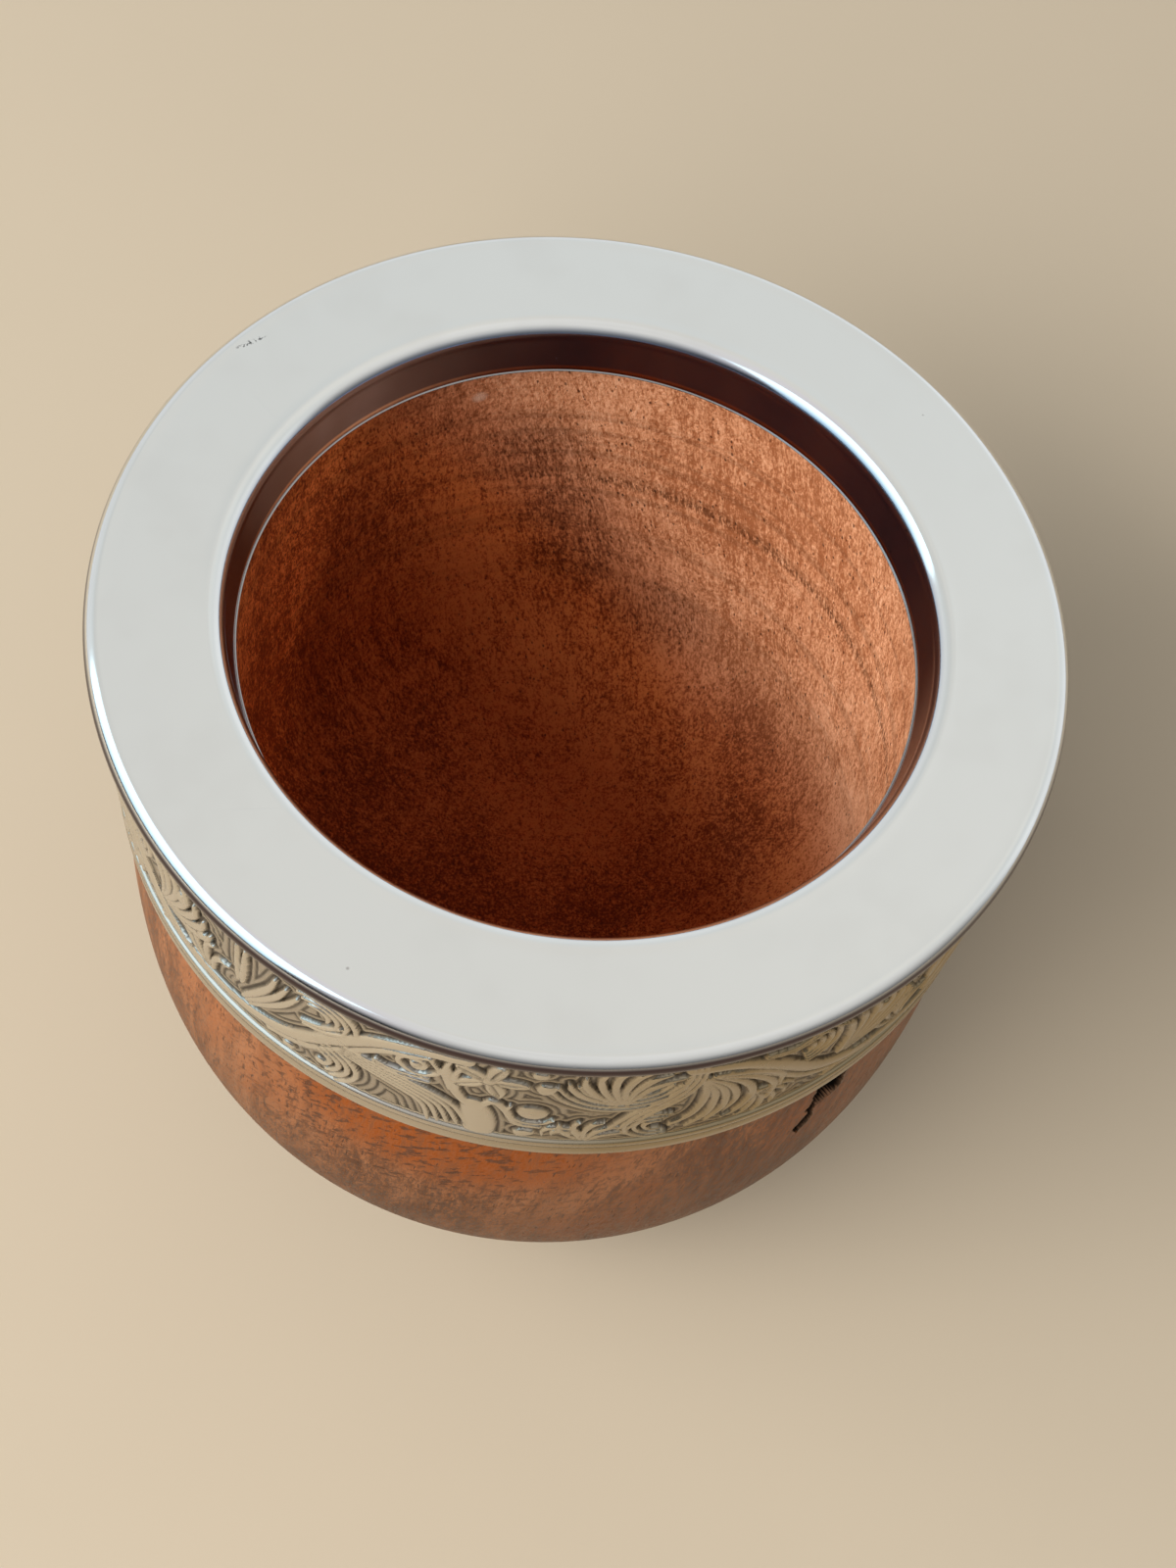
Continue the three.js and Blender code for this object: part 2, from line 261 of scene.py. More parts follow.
class Shade:
    """Short way to place and join the nodes of one node tree."""

    def __init__(self, tree: bpy.types.NodeTree) -> None:
        """Keep the tree.

        Args:
            tree: The node tree to build in.
        """
        self.tree = tree

    def node(self, kind: str, inputs: dict | None = None, **settings: object) -> Node:
        """Add a node.

        Args:
            kind: Type name of the node.
            inputs: Socket name or number to a value or to a socket that feeds it.
            **settings: Properties of the node.

        Returns:
            The new node.
        """
        made = self.tree.nodes.new(kind)
        for name, value in settings.items():
            setattr(made, name, value)
        for name, value in (inputs or {}).items():
            self.feed(made.inputs[name], value)
        return made

    def feed(self, socket: Socket, value: object) -> None:
        """Set a socket's value, or link another socket to it.

        Args:
            socket: Input to feed.
            value: A value or a socket. A colour has three numbers and is opaque.
        """
        if isinstance(value, Socket):
            self.tree.links.new(value, socket)
        elif socket.type == "RGBA":
            socket.default_value = (*value, 1.0)
        else:
            socket.default_value = value

    def maths(self, operation: str, a: object, b: object = 0.0, clamp: bool = False) -> Socket:
        """Result of a Math node.

        Args:
            operation: Its operation.
            a: First value or socket.
            b: Second value or socket.
            clamp: Whether the result stays from 0 to 1.

        Returns:
            The result's socket.
        """
        return self.node("ShaderNodeMath", {0: a, 1: b}, operation=operation, use_clamp=clamp).outputs[0]

    def weighted(self, *parts: tuple[object, float]) -> Socket:
        """Sum of values, each times its weight."""
        shares = (self.maths("MULTIPLY", value, weight) for value, weight in parts)
        return reduce(lambda a, b: self.maths("ADD", a, b), shares)

    def strongest(self, parts: Iterable[object]) -> Socket:
        """Highest of several values."""
        return reduce(lambda a, b: self.maths("MAXIMUM", a, b), parts)

    def blend(self, share: object, a: object, b: object, mode: str = "MIX") -> Socket:
        """Colour mixed from two.

        Args:
            share: Share of the second, a value or socket.
            a: First colour.
            b: Second colour.
            mode: Blend mode.

        Returns:
            The mixed colour's socket.
        """
        made = self.node("ShaderNodeMix", {0: share}, data_type="RGBA", blend_type=mode)
        self.feed(made.inputs[6], a)
        self.feed(made.inputs[7], b)
        return made.outputs[2]

    def ramp(
        self, value: object, low: float, high: float, to_low: float = 0.0, to_high: float = 1.0
    ) -> Socket:
        """Value mapped from one range to another, held at its ends.

        Args:
            value: Socket to read.
            low: Where the range starts.
            high: Where it ends.
            to_low: Result at its start.
            to_high: Result at its end.

        Returns:
            The result's socket.
        """
        made = self.node("ShaderNodeMapRange", {0: value, 1: low, 2: high, 3: to_low, 4: to_high})
        made.interpolation_type = "SMOOTHSTEP"
        return made.outputs[0]

    def colours(self, value: object, stops: Iterable[tuple[float, Triple]]) -> Socket:
        """Colour from a ramp of stops.

        Args:
            value: Socket to read.
            stops: Place and colour of each stop, in rising order.

        Returns:
            The colour's socket.
        """
        made = self.node("ShaderNodeValToRGB", {0: value})
        ramp = made.color_ramp
        listed = list(stops)
        while len(ramp.elements) < len(listed):
            ramp.elements.new(0.5)
        for element, (place, colour) in zip(ramp.elements, listed):
            element.position = place
            element.color = (*colour, 1.0)
        return made.outputs[0]

    def noise(self, vector: object, scale: object, detail: float = 2.0, roughness: float = 0.5) -> Socket:
        """Value of a noise texture.

        Args:
            vector: Where it is read.
            scale: Its scale.
            detail: Its octaves.
            roughness: How strong the fine octaves are.

        Returns:
            The value's socket, about 0 to 1.
        """
        inputs = {"Vector": vector, "Scale": scale, "Detail": detail, "Roughness": roughness}
        return self.node("ShaderNodeTexNoise", inputs).outputs[0]

    def stretched(self, vector: object, scale: Triple) -> Socket:
        """Coordinates scaled differently along each axis."""
        return self.node("ShaderNodeMapping", {0: vector, 3: scale}).outputs[0]

    def swung(self, vector: object, degrees: Triple, size: Triple) -> Socket:
        """Coordinates in a frame turned about the axes, each axis then divided by a size.

        Args:
            vector: Where they are read.
            degrees: Turn about each axis.
            size: Size of one unit along each turned axis.

        Returns:
            The coordinates' socket.
        """
        turn = tuple(math.radians(part) for part in degrees)
        inputs = {"Vector": vector, "Rotation": turn, "Scale": size}
        return self.node("ShaderNodeMapping", inputs, vector_type="TEXTURE").outputs[0]

    def vector(self, operation: str, a: object, b: object) -> Socket:
        """Vector result of a Vector Math node with two inputs."""
        return self.node("ShaderNodeVectorMath", {0: a, 1: b}, operation=operation).outputs[0]

    def scaled(self, a: object, scale: object) -> Socket:
        """Vector times a value or a value's socket."""
        return self.node("ShaderNodeVectorMath", {0: a, "Scale": scale}, operation="SCALE").outputs[0]

    def dot(self, a: object, b: object) -> Socket:
        """Dot product of two vectors."""
        return self.node("ShaderNodeVectorMath", {0: a, 1: b}, operation="DOT_PRODUCT").outputs["Value"]

    def away(self, a: object, b: object) -> Socket:
        """Distance between two places."""
        return self.node("ShaderNodeVectorMath", {0: a, 1: b}, operation="DISTANCE").outputs["Value"]

    def mark(self, name: str) -> Socket:
        """Value of a mark that the mesh carries."""
        return self.node("ShaderNodeAttribute", attribute_name=name).outputs["Fac"]


class NodeGroup:
    """Shader node group built once and placed in many materials."""

    name = "group"
    takes: dict[str, float] = {}
    gives: tuple[str, ...] = ()

    def tree(self) -> bpy.types.NodeTree:
        """Find the group's tree, or make it on first use.

        Returns:
            The tree.
        """
        found = bpy.data.node_groups.get(self.name)
        if found is not None:
            return found
        made = bpy.data.node_groups.new(self.name, "ShaderNodeTree")
        for socket, value in self.takes.items():
            new = made.interface.new_socket(socket, in_out="INPUT", socket_type="NodeSocketFloat")
            new.default_value = value
        for socket in self.gives:
            made.interface.new_socket(socket, in_out="OUTPUT", socket_type="NodeSocketFloat")
        shade = Shade(made)
        source = shade.node("NodeGroupInput")
        target = shade.node("NodeGroupOutput")
        for socket, value in self.wire(shade, source).items():
            shade.feed(target.inputs[socket], value)
        return made

    def wire(self, shade: Shade, source: Node) -> dict[str, Socket]:
        """Build the inside of the group.

        Args:
            shade: Builder of the group's tree.
            source: The group's input node.

        Returns:
            Output name to the socket that feeds it.
        """
        raise NotImplementedError

    def place(self, shade: Shade, **values: float) -> Node:
        """Put the group in a material.

        Args:
            shade: Builder of the material's tree.
            **values: Its inputs, with _ for a space.

        Returns:
            The group node.
        """
        made = shade.node("ShaderNodeGroup", node_tree=self.tree())
        for name, value in values.items():
            made.inputs[name.replace("_", " ")].default_value = value
        return made


def millimetres(shade: Shade) -> Socket:
    """Object coordinates in millimetres."""
    place = shade.node("ShaderNodeTexCoord").outputs["Object"]
    return shade.scaled(place, 1 / MM)


def height_over_floor(shade: Shade) -> Socket:
    """Height over the floor in millimetres."""
    return shade.node("ShaderNodeSeparateXYZ", {0: millimetres(shade)}).outputs[2]


class WoodGrain(NodeGroup):
    """Upright wood grain: growth rings, short pores, fibres and broad patches of colour."""

    name = "wood_grain"
    takes = {
        "Ring Width": 3.0,
        "Pores per mm": 2.6,
        "Pore Length": 6.0,
        "Pore Radius": 0.25,
        "Pore Share": 0.2,
        "Waviness": 0.6,
        "Lean": 0.1,
    }
    gives = ("Rings", "Pores", "Fibres", "Strands", "Patches", "Clusters", "Flecks")
    pith: Triple = (31.0, -64.0, 0.0)
    pith_climb: float = 0.04
    warp_reach: float = 6.0
    fibre_scale: Triple = (3.6, 3.6, 0.9)
    strand_scale: Triple = (1.1, 1.1, 0.16)
    fleck_swing: Triple = (0.0, -34.0, 0.0)
    fleck_size: Triple = (1.9, 0.9, 0.8)

    def wire(self, shade: Shade, source: Node) -> dict[str, Socket]:
        """Build the inside of the group.

        Args:
            shade: Builder of the group's tree.
            source: The group's input node.

        Returns:
            Output name to the socket that feeds it.
        """
        place = self.leaning(shade, millimetres(shade), source.outputs["Lean"])
        broad = {"Vector": shade.stretched(place, (1, 1, 0.35)), "Scale": 0.09, "Detail": 3.0}
        sway = shade.node("ShaderNodeTexNoise", broad).outputs[1]
        centred = shade.vector("SUBTRACT", sway, (0.5, 0.5, 0.5))
        reach = shade.maths("MULTIPLY", source.outputs["Waviness"], self.warp_reach)
        warped = shade.vector("ADD", place, shade.scaled(centred, reach))
        clusters = shade.noise(shade.stretched(warped, (1, 1, 0.4)), 0.13, 2.0, 0.5)
        return {
            "Rings": self.rings(shade, warped, source.outputs["Ring Width"]),
            "Pores": self.pores(shade, warped, source, clusters),
            "Fibres": shade.noise(shade.stretched(warped, self.fibre_scale), 1.0, 3.0, 0.7),
            "Strands": shade.noise(shade.stretched(warped, self.strand_scale), 1.0, 3.0, 0.6),
            "Patches": shade.noise(shade.stretched(warped, (1, 1, 0.5)), 0.055, 3.0, 0.55),
            "Clusters": clusters,
            "Flecks": shade.noise(shade.swung(place, self.fleck_swing, self.fleck_size), 1.0, 3.0, 0.65),
        }

    @staticmethod
    def leaning(shade: Shade, place: object, lean: object) -> Socket:
        """Place with the grain leaning to one side as it climbs.

        Args:
            shade: Builder of the group's tree.
            place: Place in millimetres.
            lean: Sideways run for each millimetre of height.

        Returns:
            Socket of the sheared place.
        """
        parts = shade.node("ShaderNodeSeparateXYZ", {0: place}).outputs
        aside = shade.maths("MULTIPLY", parts[2], lean)
        across = {0: shade.maths("ADD", parts[0], aside), 1: parts[1], 2: parts[2]}
        return shade.node("ShaderNodeCombineXYZ", across).outputs[0]

    def rings(self, shade: Shade, place: object, width: object) -> Socket:
        """Growth rings about a pith outside the cup.

        Args:
            shade: Builder of the group's tree.
            place: Warped place in millimetres.
            width: Width of a year's growth.

        Returns:
            Socket of 0 in early wood to 1 in late wood.
        """
        pith = shade.vector("SUBTRACT", place, self.pith)
        flat = shade.vector("MULTIPLY", pith, (1, 1, self.pith_climb))
        distance = shade.node("ShaderNodeVectorMath", {0: flat}, operation="LENGTH").outputs["Value"]
        share = shade.maths("FRACT", shade.maths("DIVIDE", distance, width))
        rise = shade.ramp(share, 0.15, 0.85)
        return shade.maths("MULTIPLY", rise, shade.ramp(share, 1.0, 0.9))

    @staticmethod
    def pores(shade: Shade, place: object, source: Node, clusters: object) -> Socket:
        """Short dark pores that run up the cup, thicker in some places than in others.

        Args:
            shade: Builder of the group's tree.
            place: Warped place in millimetres.
            source: The group's input node.
            clusters: Socket that says where pores gather.

        Returns:
            Socket of 0 between pores to 1 in a pore.
        """
        shorter = shade.maths("DIVIDE", 1.0, source.outputs["Pore Length"])
        squeeze = shade.node("ShaderNodeCombineXYZ", {0: 1.0, 1: 1.0, 2: shorter}).outputs[0]
        along = shade.vector("MULTIPLY", place, squeeze)
        inputs = {"Vector": along, "Scale": source.outputs["Pores per mm"], "Randomness": 1.0}
        cells = shade.node("ShaderNodeTexVoronoi", inputs)
        draw = shade.node("ShaderNodeSeparateColor", {0: cells.outputs["Color"]}).outputs
        varied = shade.ramp(draw[1], 0.0, 1.0, 0.6, 1.3)
        reach = shade.maths("MULTIPLY", source.outputs["Pore Radius"], varied)
        depth = shade.maths("DIVIDE", cells.outputs["Distance"], reach)
        inside = shade.ramp(depth, 1.1, 0.6)
        gathered = shade.ramp(clusters, 0.35, 0.65, 0.25, 1.9)
        share = shade.maths("MULTIPLY", source.outputs["Pore Share"], gathered)
        return shade.maths("MULTIPLY", inside, shade.maths("LESS_THAN", draw[0], share))


class MetalWear(NodeGroup):
    """Wear of polished metal: hair scratches, wiped smudges and small specks."""

    name = "metal_wear"
    takes = {"Scratch Scale": 1.0, "Smudge Scale": 0.08}
    gives = ("Scratches", "Smudges", "Specks", "Swell")
    hairs: tuple[Pair, ...] = ((17.0, 0.05), (-38.0, 0.04), (71.0, 0.06))

    def wire(self, shade: Shade, source: Node) -> dict[str, Socket]:
        """Build the inside of the group.

        Args:
            shade: Builder of the group's tree.
            source: The group's input node.

        Returns:
            Output name to the socket that feeds it.
        """
        place = millimetres(shade)
        scratches = []
        for turn, stretch in self.hairs:
            swung = shade.swung(place, (0.0, 0.0, turn), (1 / stretch, 1.0, 1.0))
            hair = shade.noise(swung, source.outputs["Scratch Scale"], 2.0, 0.6)
            scratches.append(shade.ramp(hair, 0.70, 0.76))
        cells = shade.node("ShaderNodeTexVoronoi", {"Vector": place, "Scale": 0.22, "Randomness": 1.0})
        draw = shade.node("ShaderNodeSeparateColor", {0: cells.outputs["Color"]}).outputs[0]
        speck = shade.ramp(cells.outputs["Distance"], 0.05, 0.02)
        return {
            "Scratches": shade.strongest(scratches),
            "Smudges": shade.noise(place, source.outputs["Smudge Scale"], 3.0, 0.6),
            "Specks": shade.maths("MULTIPLY", speck, shade.maths("LESS_THAN", draw, 0.25)),
            "Swell": shade.noise(place, 0.045, 1.0, 0.4),
        }


GRAIN = WoodGrain()
WEAR = MetalWear()


@dataclass(frozen=True)
class Finish:
    """Base of a finish: a material with one Principled shader."""

    name: str

    def material(self) -> bpy.types.Material:
        """Build the material.

        Returns:
            A material named after the finish.
        """
        made = bpy.data.materials.new(self.name)
        made.use_nodes = True
        made.node_tree.nodes.clear()
        shade = Shade(made.node_tree)
        shader = shade.node("ShaderNodeBsdfPrincipled")
        output = shade.node("ShaderNodeOutputMaterial")
        shade.feed(output.inputs["Surface"], shader.outputs["BSDF"])
        self.wire(shade, shader)
        return made

    def wire(self, shade: Shade, shader: Node) -> None:
        """Feed the shader.

        Args:
            shade: Builder of the material's tree.
            shader: The material's Principled shader.
        """
        raise NotImplementedError


def bump(
    shade: Shade, height: object, strength: float, depth: float, under: Socket | None = None
) -> Socket:
    """Normal of a bump.

    Args:
        shade: Builder of the material's tree.
        height: Socket of the height, from 0 to 1.
        strength: Strength from 0 to 1.
        depth: Depth in millimetres of a height of 1.
        under: Normal socket of a bump below it.

    Returns:
        The normal's socket.
    """
    made = shade.node("ShaderNodeBump", {"Strength": strength, "Distance": depth * MM, "Height": height})
    if under is not None:
        shade.feed(made.inputs["Normal"], under)
    return made.outputs[0]


@dataclass(frozen=True)
class OiledWood(Finish):
    """Satin oiled wood of the outside: reddish brown, with orange figure and dark pores."""

    name: str = "oiled_wood"
    tones: tuple[Triple, ...] = ((0.105, 0.034, 0.011), (0.22, 0.078, 0.027), (0.34, 0.135, 0.056))
    tone_stops: Triple = (0.45, 0.50, 0.56)
    figure: Triple = (0.26, 0.055, 0.001)
    figure_middle: Triple = (-3.0, -44.0, 82.5)
    figure_reach: Pair = (23.0, 9.0)
    fleck: Triple = (0.07, 0.022, 0.008)
    fleck_middle: Triple = (-8.0, -42.0, 53.0)
    fleck_reach: Pair = (25.0, 8.0)
    pore: Triple = (0.045, 0.018, 0.010)
    # Painted shade: greyish darkening of the belly towards the floor.
    low_shade: Triple = (0.58, 0.58, 0.56)
    low_shade_heights: Pair = (52.0, 27.0)
    # Darker band just outside the check's edge.
    check_edge_tone: Triple = (0.15, 0.105, 0.070)
    # Painted shadow: near black inside the open check.
    check_painted_shadow: Triple = (0.003, 0.002, 0.0015)
    roughness: float = 0.42
    specular: float = 0.15

    def wire(self, shade: Shade, shader: Node) -> None:
        """Feed the shader.

        Args:
            shade: Builder of the material's tree.
            shader: The material's Principled shader.
        """
        grain = GRAIN.place(
            shade, Ring_Width=4.6, Pore_Length=6.0, Pore_Share=0.30, Waviness=0.9, Lean=-0.12
        )
        out = grain.outputs
        mixed = shade.weighted((out["Patches"], 0.32), (out["Strands"], 0.22), (out["Fibres"], 0.46))
        body = shade.colours(mixed, zip(self.tone_stops, self.tones))
        ringed = shade.blend(shade.maths("MULTIPLY", out["Rings"], 0.25), body, self.tones[0])
        figured = shade.blend(self.figure_share(shade, out), ringed, self.figure)
        flecked = shade.blend(self.fleck_share(shade, out), figured, self.fleck)
        # Painted shade: the belly darkens and greys towards the floor.
        low_shade_share = shade.ramp(height_over_floor(shade), *self.low_shade_heights, 0.0, 0.95)
        low_shaded = shade.blend(low_shade_share, flecked, self.low_shade, "MULTIPLY")
        pored = shade.blend(shade.maths("MULTIPLY", out["Pores"], 0.6), low_shaded, self.pore)
        check = shade.mark("check")
        # Darker band just outside the check's edge.
        edged = shade.blend(shade.ramp(check, 0.15, 0.40, 0.0, 0.6), pored, self.check_edge_tone)
        # Painted shadow fills the open check with near black.
        dark = shade.blend(shade.ramp(check, 0.38, 0.52), edged, self.check_painted_shadow)
        shade.feed(shader.inputs["Base Color"], dark)
        rough = shade.ramp(out["Fibres"], 0.35, 0.65, self.roughness - 0.06, self.roughness + 0.12)
        shade.feed(shader.inputs["Roughness"], shade.maths("MAXIMUM", rough, shade.ramp(check, 0.3, 0.5)))
        shader.inputs["Specular IOR Level"].default_value = self.specular
        low = bump(shade, out["Pores"], 0.6, -0.10)
        shade.feed(shader.inputs["Normal"], bump(shade, out["Fibres"], 0.30, 0.07, low))

    def figure_share(self, shade: Shade, out: object) -> Socket:
        """Where the orange figure shows: streaks under the band at the front, a few faint ones elsewhere.

        Args:
            shade: Builder of the material's tree.
            out: The grain's outputs.

        Returns:
            Socket from 0 to 1.
        """
        near = shade.away(shade.stretched(millimetres(shade), (1, 1, 1.5)), self.figure_middle)
        spot = shade.ramp(near, *self.figure_reach)
        elsewhere = shade.ramp(out["Clusters"], 0.54, 0.70, 0.0, 0.3)
        streak = shade.ramp(out["Strands"], 0.38, 0.56, 0.55, 1.0)
        return shade.maths("MULTIPLY", shade.maths("MAXIMUM", spot, elsewhere), streak, clamp=True)

    def fleck_share(self, shade: Shade, out: object) -> Socket:
        """Where short dark flecks lie across the grain, thickest in the orange figure.

        Args:
            shade: Builder of the material's tree.
            out: The grain's outputs.

        Returns:
            Socket from 0 to 1.
        """
        near = shade.away(millimetres(shade), self.fleck_middle)
        gathered = shade.ramp(near, *self.fleck_reach, 0.25, 0.85)
        return shade.maths("MULTIPLY", shade.ramp(out["Flecks"], 0.53, 0.61), gathered)


@dataclass(frozen=True)
class RawWood(Finish):
    """Bare turned wood of the hollow: open pores, torn fibres, a fuzzy nap and faint turning rings."""

    name: str = "raw_wood"
    sapwood: tuple[Triple, ...] = ((0.34, 0.115, 0.045), (0.62, 0.275, 0.135), (0.80, 0.415, 0.24))
    sapwood_stops: Triple = (0.43, 0.50, 0.57)
    # Heartwood tones, darker and redder; on the left and the bottom of the hollow they also stand as painted
    # shade.
    heart_and_shade: tuple[Triple, ...] = ((0.14, 0.026, 0.006), (0.33, 0.073, 0.018), (0.52, 0.150, 0.040))
    heart_and_shade_stops: Triple = (0.45, 0.50, 0.55)
    heart_and_shade_way: Triple = (0.72, 0.30, 0.55)
    heart_and_shade_reach: Pair = (44.0, 26.0)
    heart_and_shade_heights: Pair = (38.0, 20.0)
    # Painted light: the heartwood tone is lifted on the left wall of the hollow.
    left_painted_light: Triple = (1.85, 2.1, 2.1)
    left_light_way: Triple = (-1.0, -0.8, 0.3)
    left_light_reach: Pair = (27.0, 37.0)
    nap: Triple = (3.2, 3.2, 1.9)
    pore: Triple = (0.05, 0.016, 0.008)
    ring_tint: Triple = (0.42, 0.40, 0.38)
    ring_heights: Pair = (28.0, 44.0)
    dark_ring_height: float = 55.6
    dark_ring_way: Triple = (0.75, 0.66, 0.0)
    dark_ring_reach: Pair = (2.0, 26.0)
    # A darker streak down the far wall.
    far_wall_dark: Triple = (0.40, 0.36, 0.36)
    far_wall_dark_spots: tuple[tuple[Triple, float], ...] = (
        ((-9.0, 31.0, 60.0), 9.0),
        ((-5.0, 32.5, 50.0), 8.0),
        ((-2.0, 32.5, 41.0), 9.0),
        ((7.0, 31.0, 34.0), 9.0),
    )
    chip: Triple = (0.70, 0.45, 0.32)
    chip_middle: Triple = (-15.0, 28.5, 70.6)
    roughness: float = 0.72
    specular: float = 0.12

    def wire(self, shade: Shade, shader: Node) -> None:
        """Feed the shader.

        Args:
            shade: Builder of the material's tree.
            shader: The material's Principled shader.
        """
        grain = GRAIN.place(
            shade,
            Ring_Width=5.5,
            Pores_per_mm=2.4,
            Pore_Length=2.2,
            Pore_Share=0.16,
            Waviness=0.5,
            Lean=0.22,
        )
        out = grain.outputs
        nap = shade.noise(shade.stretched(millimetres(shade), self.nap), 1.0, 3.0, 0.75)
        fibres = shade.weighted((out["Fibres"], 0.45), (nap, 0.55))
        mixed = shade.weighted((fibres, 0.58), (out["Patches"], 0.24), (out["Strands"], 0.18))
        sapwood = shade.colours(mixed, zip(self.sapwood_stops, self.sapwood))
        heart_and_shade = shade.colours(mixed, zip(self.heart_and_shade_stops, self.heart_and_shade))
        # Painted light brightens the heartwood tone on the left wall.
        left = shade.ramp(shade.dot(millimetres(shade), self.left_light_way), *self.left_light_reach)
        heart_lit_left = shade.blend(left, heart_and_shade, self.left_painted_light, "MULTIPLY")
        # Heartwood and painted shade blended in on the left and the bottom.
        heart_and_shade_mixed = shade.blend(self.heart_and_shade_share(shade), sapwood, heart_lit_left)
        ringed = shade.blend(self.turning(shade, out), heart_and_shade_mixed, self.ring_tint, "MULTIPLY")
        far_wall_darkening = shade.blend(self.far_wall_darkening(shade, out), ringed, self.far_wall_dark, "MULTIPLY")
        pored = shade.blend(shade.maths("MULTIPLY", out["Pores"], 0.8), far_wall_darkening, self.pore)
        chipped = shade.ramp(shade.away(millimetres(shade), self.chip_middle), 1.1, 0.3, 0.0, 0.8)
        shade.feed(shader.inputs["Base Color"], shade.blend(chipped, pored, self.chip))
        shader.inputs["Roughness"].default_value = self.roughness
        shader.inputs["Specular IOR Level"].default_value = self.specular
        low = bump(shade, out["Pores"], 0.7, -0.15)
        shade.feed(shader.inputs["Normal"], bump(shade, fibres, 0.80, 0.26, low))

    def heart_and_shade_share(self, shade: Shade) -> Socket:
        """Share of the redder, darker heartwood, which fills the left and the bottom of the hollow and stands
        there as painted shade as well.

        Args:
            shade: Builder of the material's tree.

        Returns:
            Socket from 0 to 1.
        """
        aside = shade.ramp(shade.dot(millimetres(shade), self.heart_and_shade_way), *self.heart_and_shade_reach)
        below = shade.ramp(height_over_floor(shade), *self.heart_and_shade_heights, 0.0, 0.95)
        return shade.maths("MAXIMUM", aside, below)

    def turning(self, shade: Shade, out: object) -> Socket:
        """Turning rings at uneven heights, with one darker and broken below the neck.

        Args:
            shade: Builder of the material's tree.
            out: The grain's outputs.

        Returns:
            Socket from 0 to 1.
        """
        place = millimetres(shade)
        height = height_over_floor(shade)
        faint = shade.noise(shade.stretched(place, (0.012, 0.012, 0.55)), 1.0, 2.0, 0.6)
        rings = shade.maths(
            "MULTIPLY", shade.ramp(faint, 0.50, 0.62, 0.0, 0.35), shade.ramp(height, *self.ring_heights)
        )
        off = shade.maths("ABSOLUTE", shade.maths("SUBTRACT", height, self.dark_ring_height))
        dark = shade.ramp(off, 1.3, 0.2, 0.0, 0.95)
        side = shade.ramp(shade.dot(place, self.dark_ring_way), *self.dark_ring_reach)
        kept = shade.maths("MULTIPLY", side, shade.ramp(out["Fibres"], 0.60, 0.44))
        return shade.maths("MAXIMUM", rings, shade.maths("MULTIPLY", dark, kept))

    def far_wall_darkening(self, shade: Shade, out: object) -> Socket:
        """Darker streak that runs down the far wall.

        Args:
            shade: Builder of the material's tree.
            out: The grain's outputs.

        Returns:
            Socket from 0 to 1.
        """
        place = millimetres(shade)
        spots = [shade.ramp(shade.away(place, spot), reach, 0.25 * reach) for spot, reach in self.far_wall_dark_spots]
        torn = shade.ramp(out["Fibres"], 0.62, 0.36, 0.25, 0.85)
        return shade.maths("MULTIPLY", shade.strongest(spots), torn)


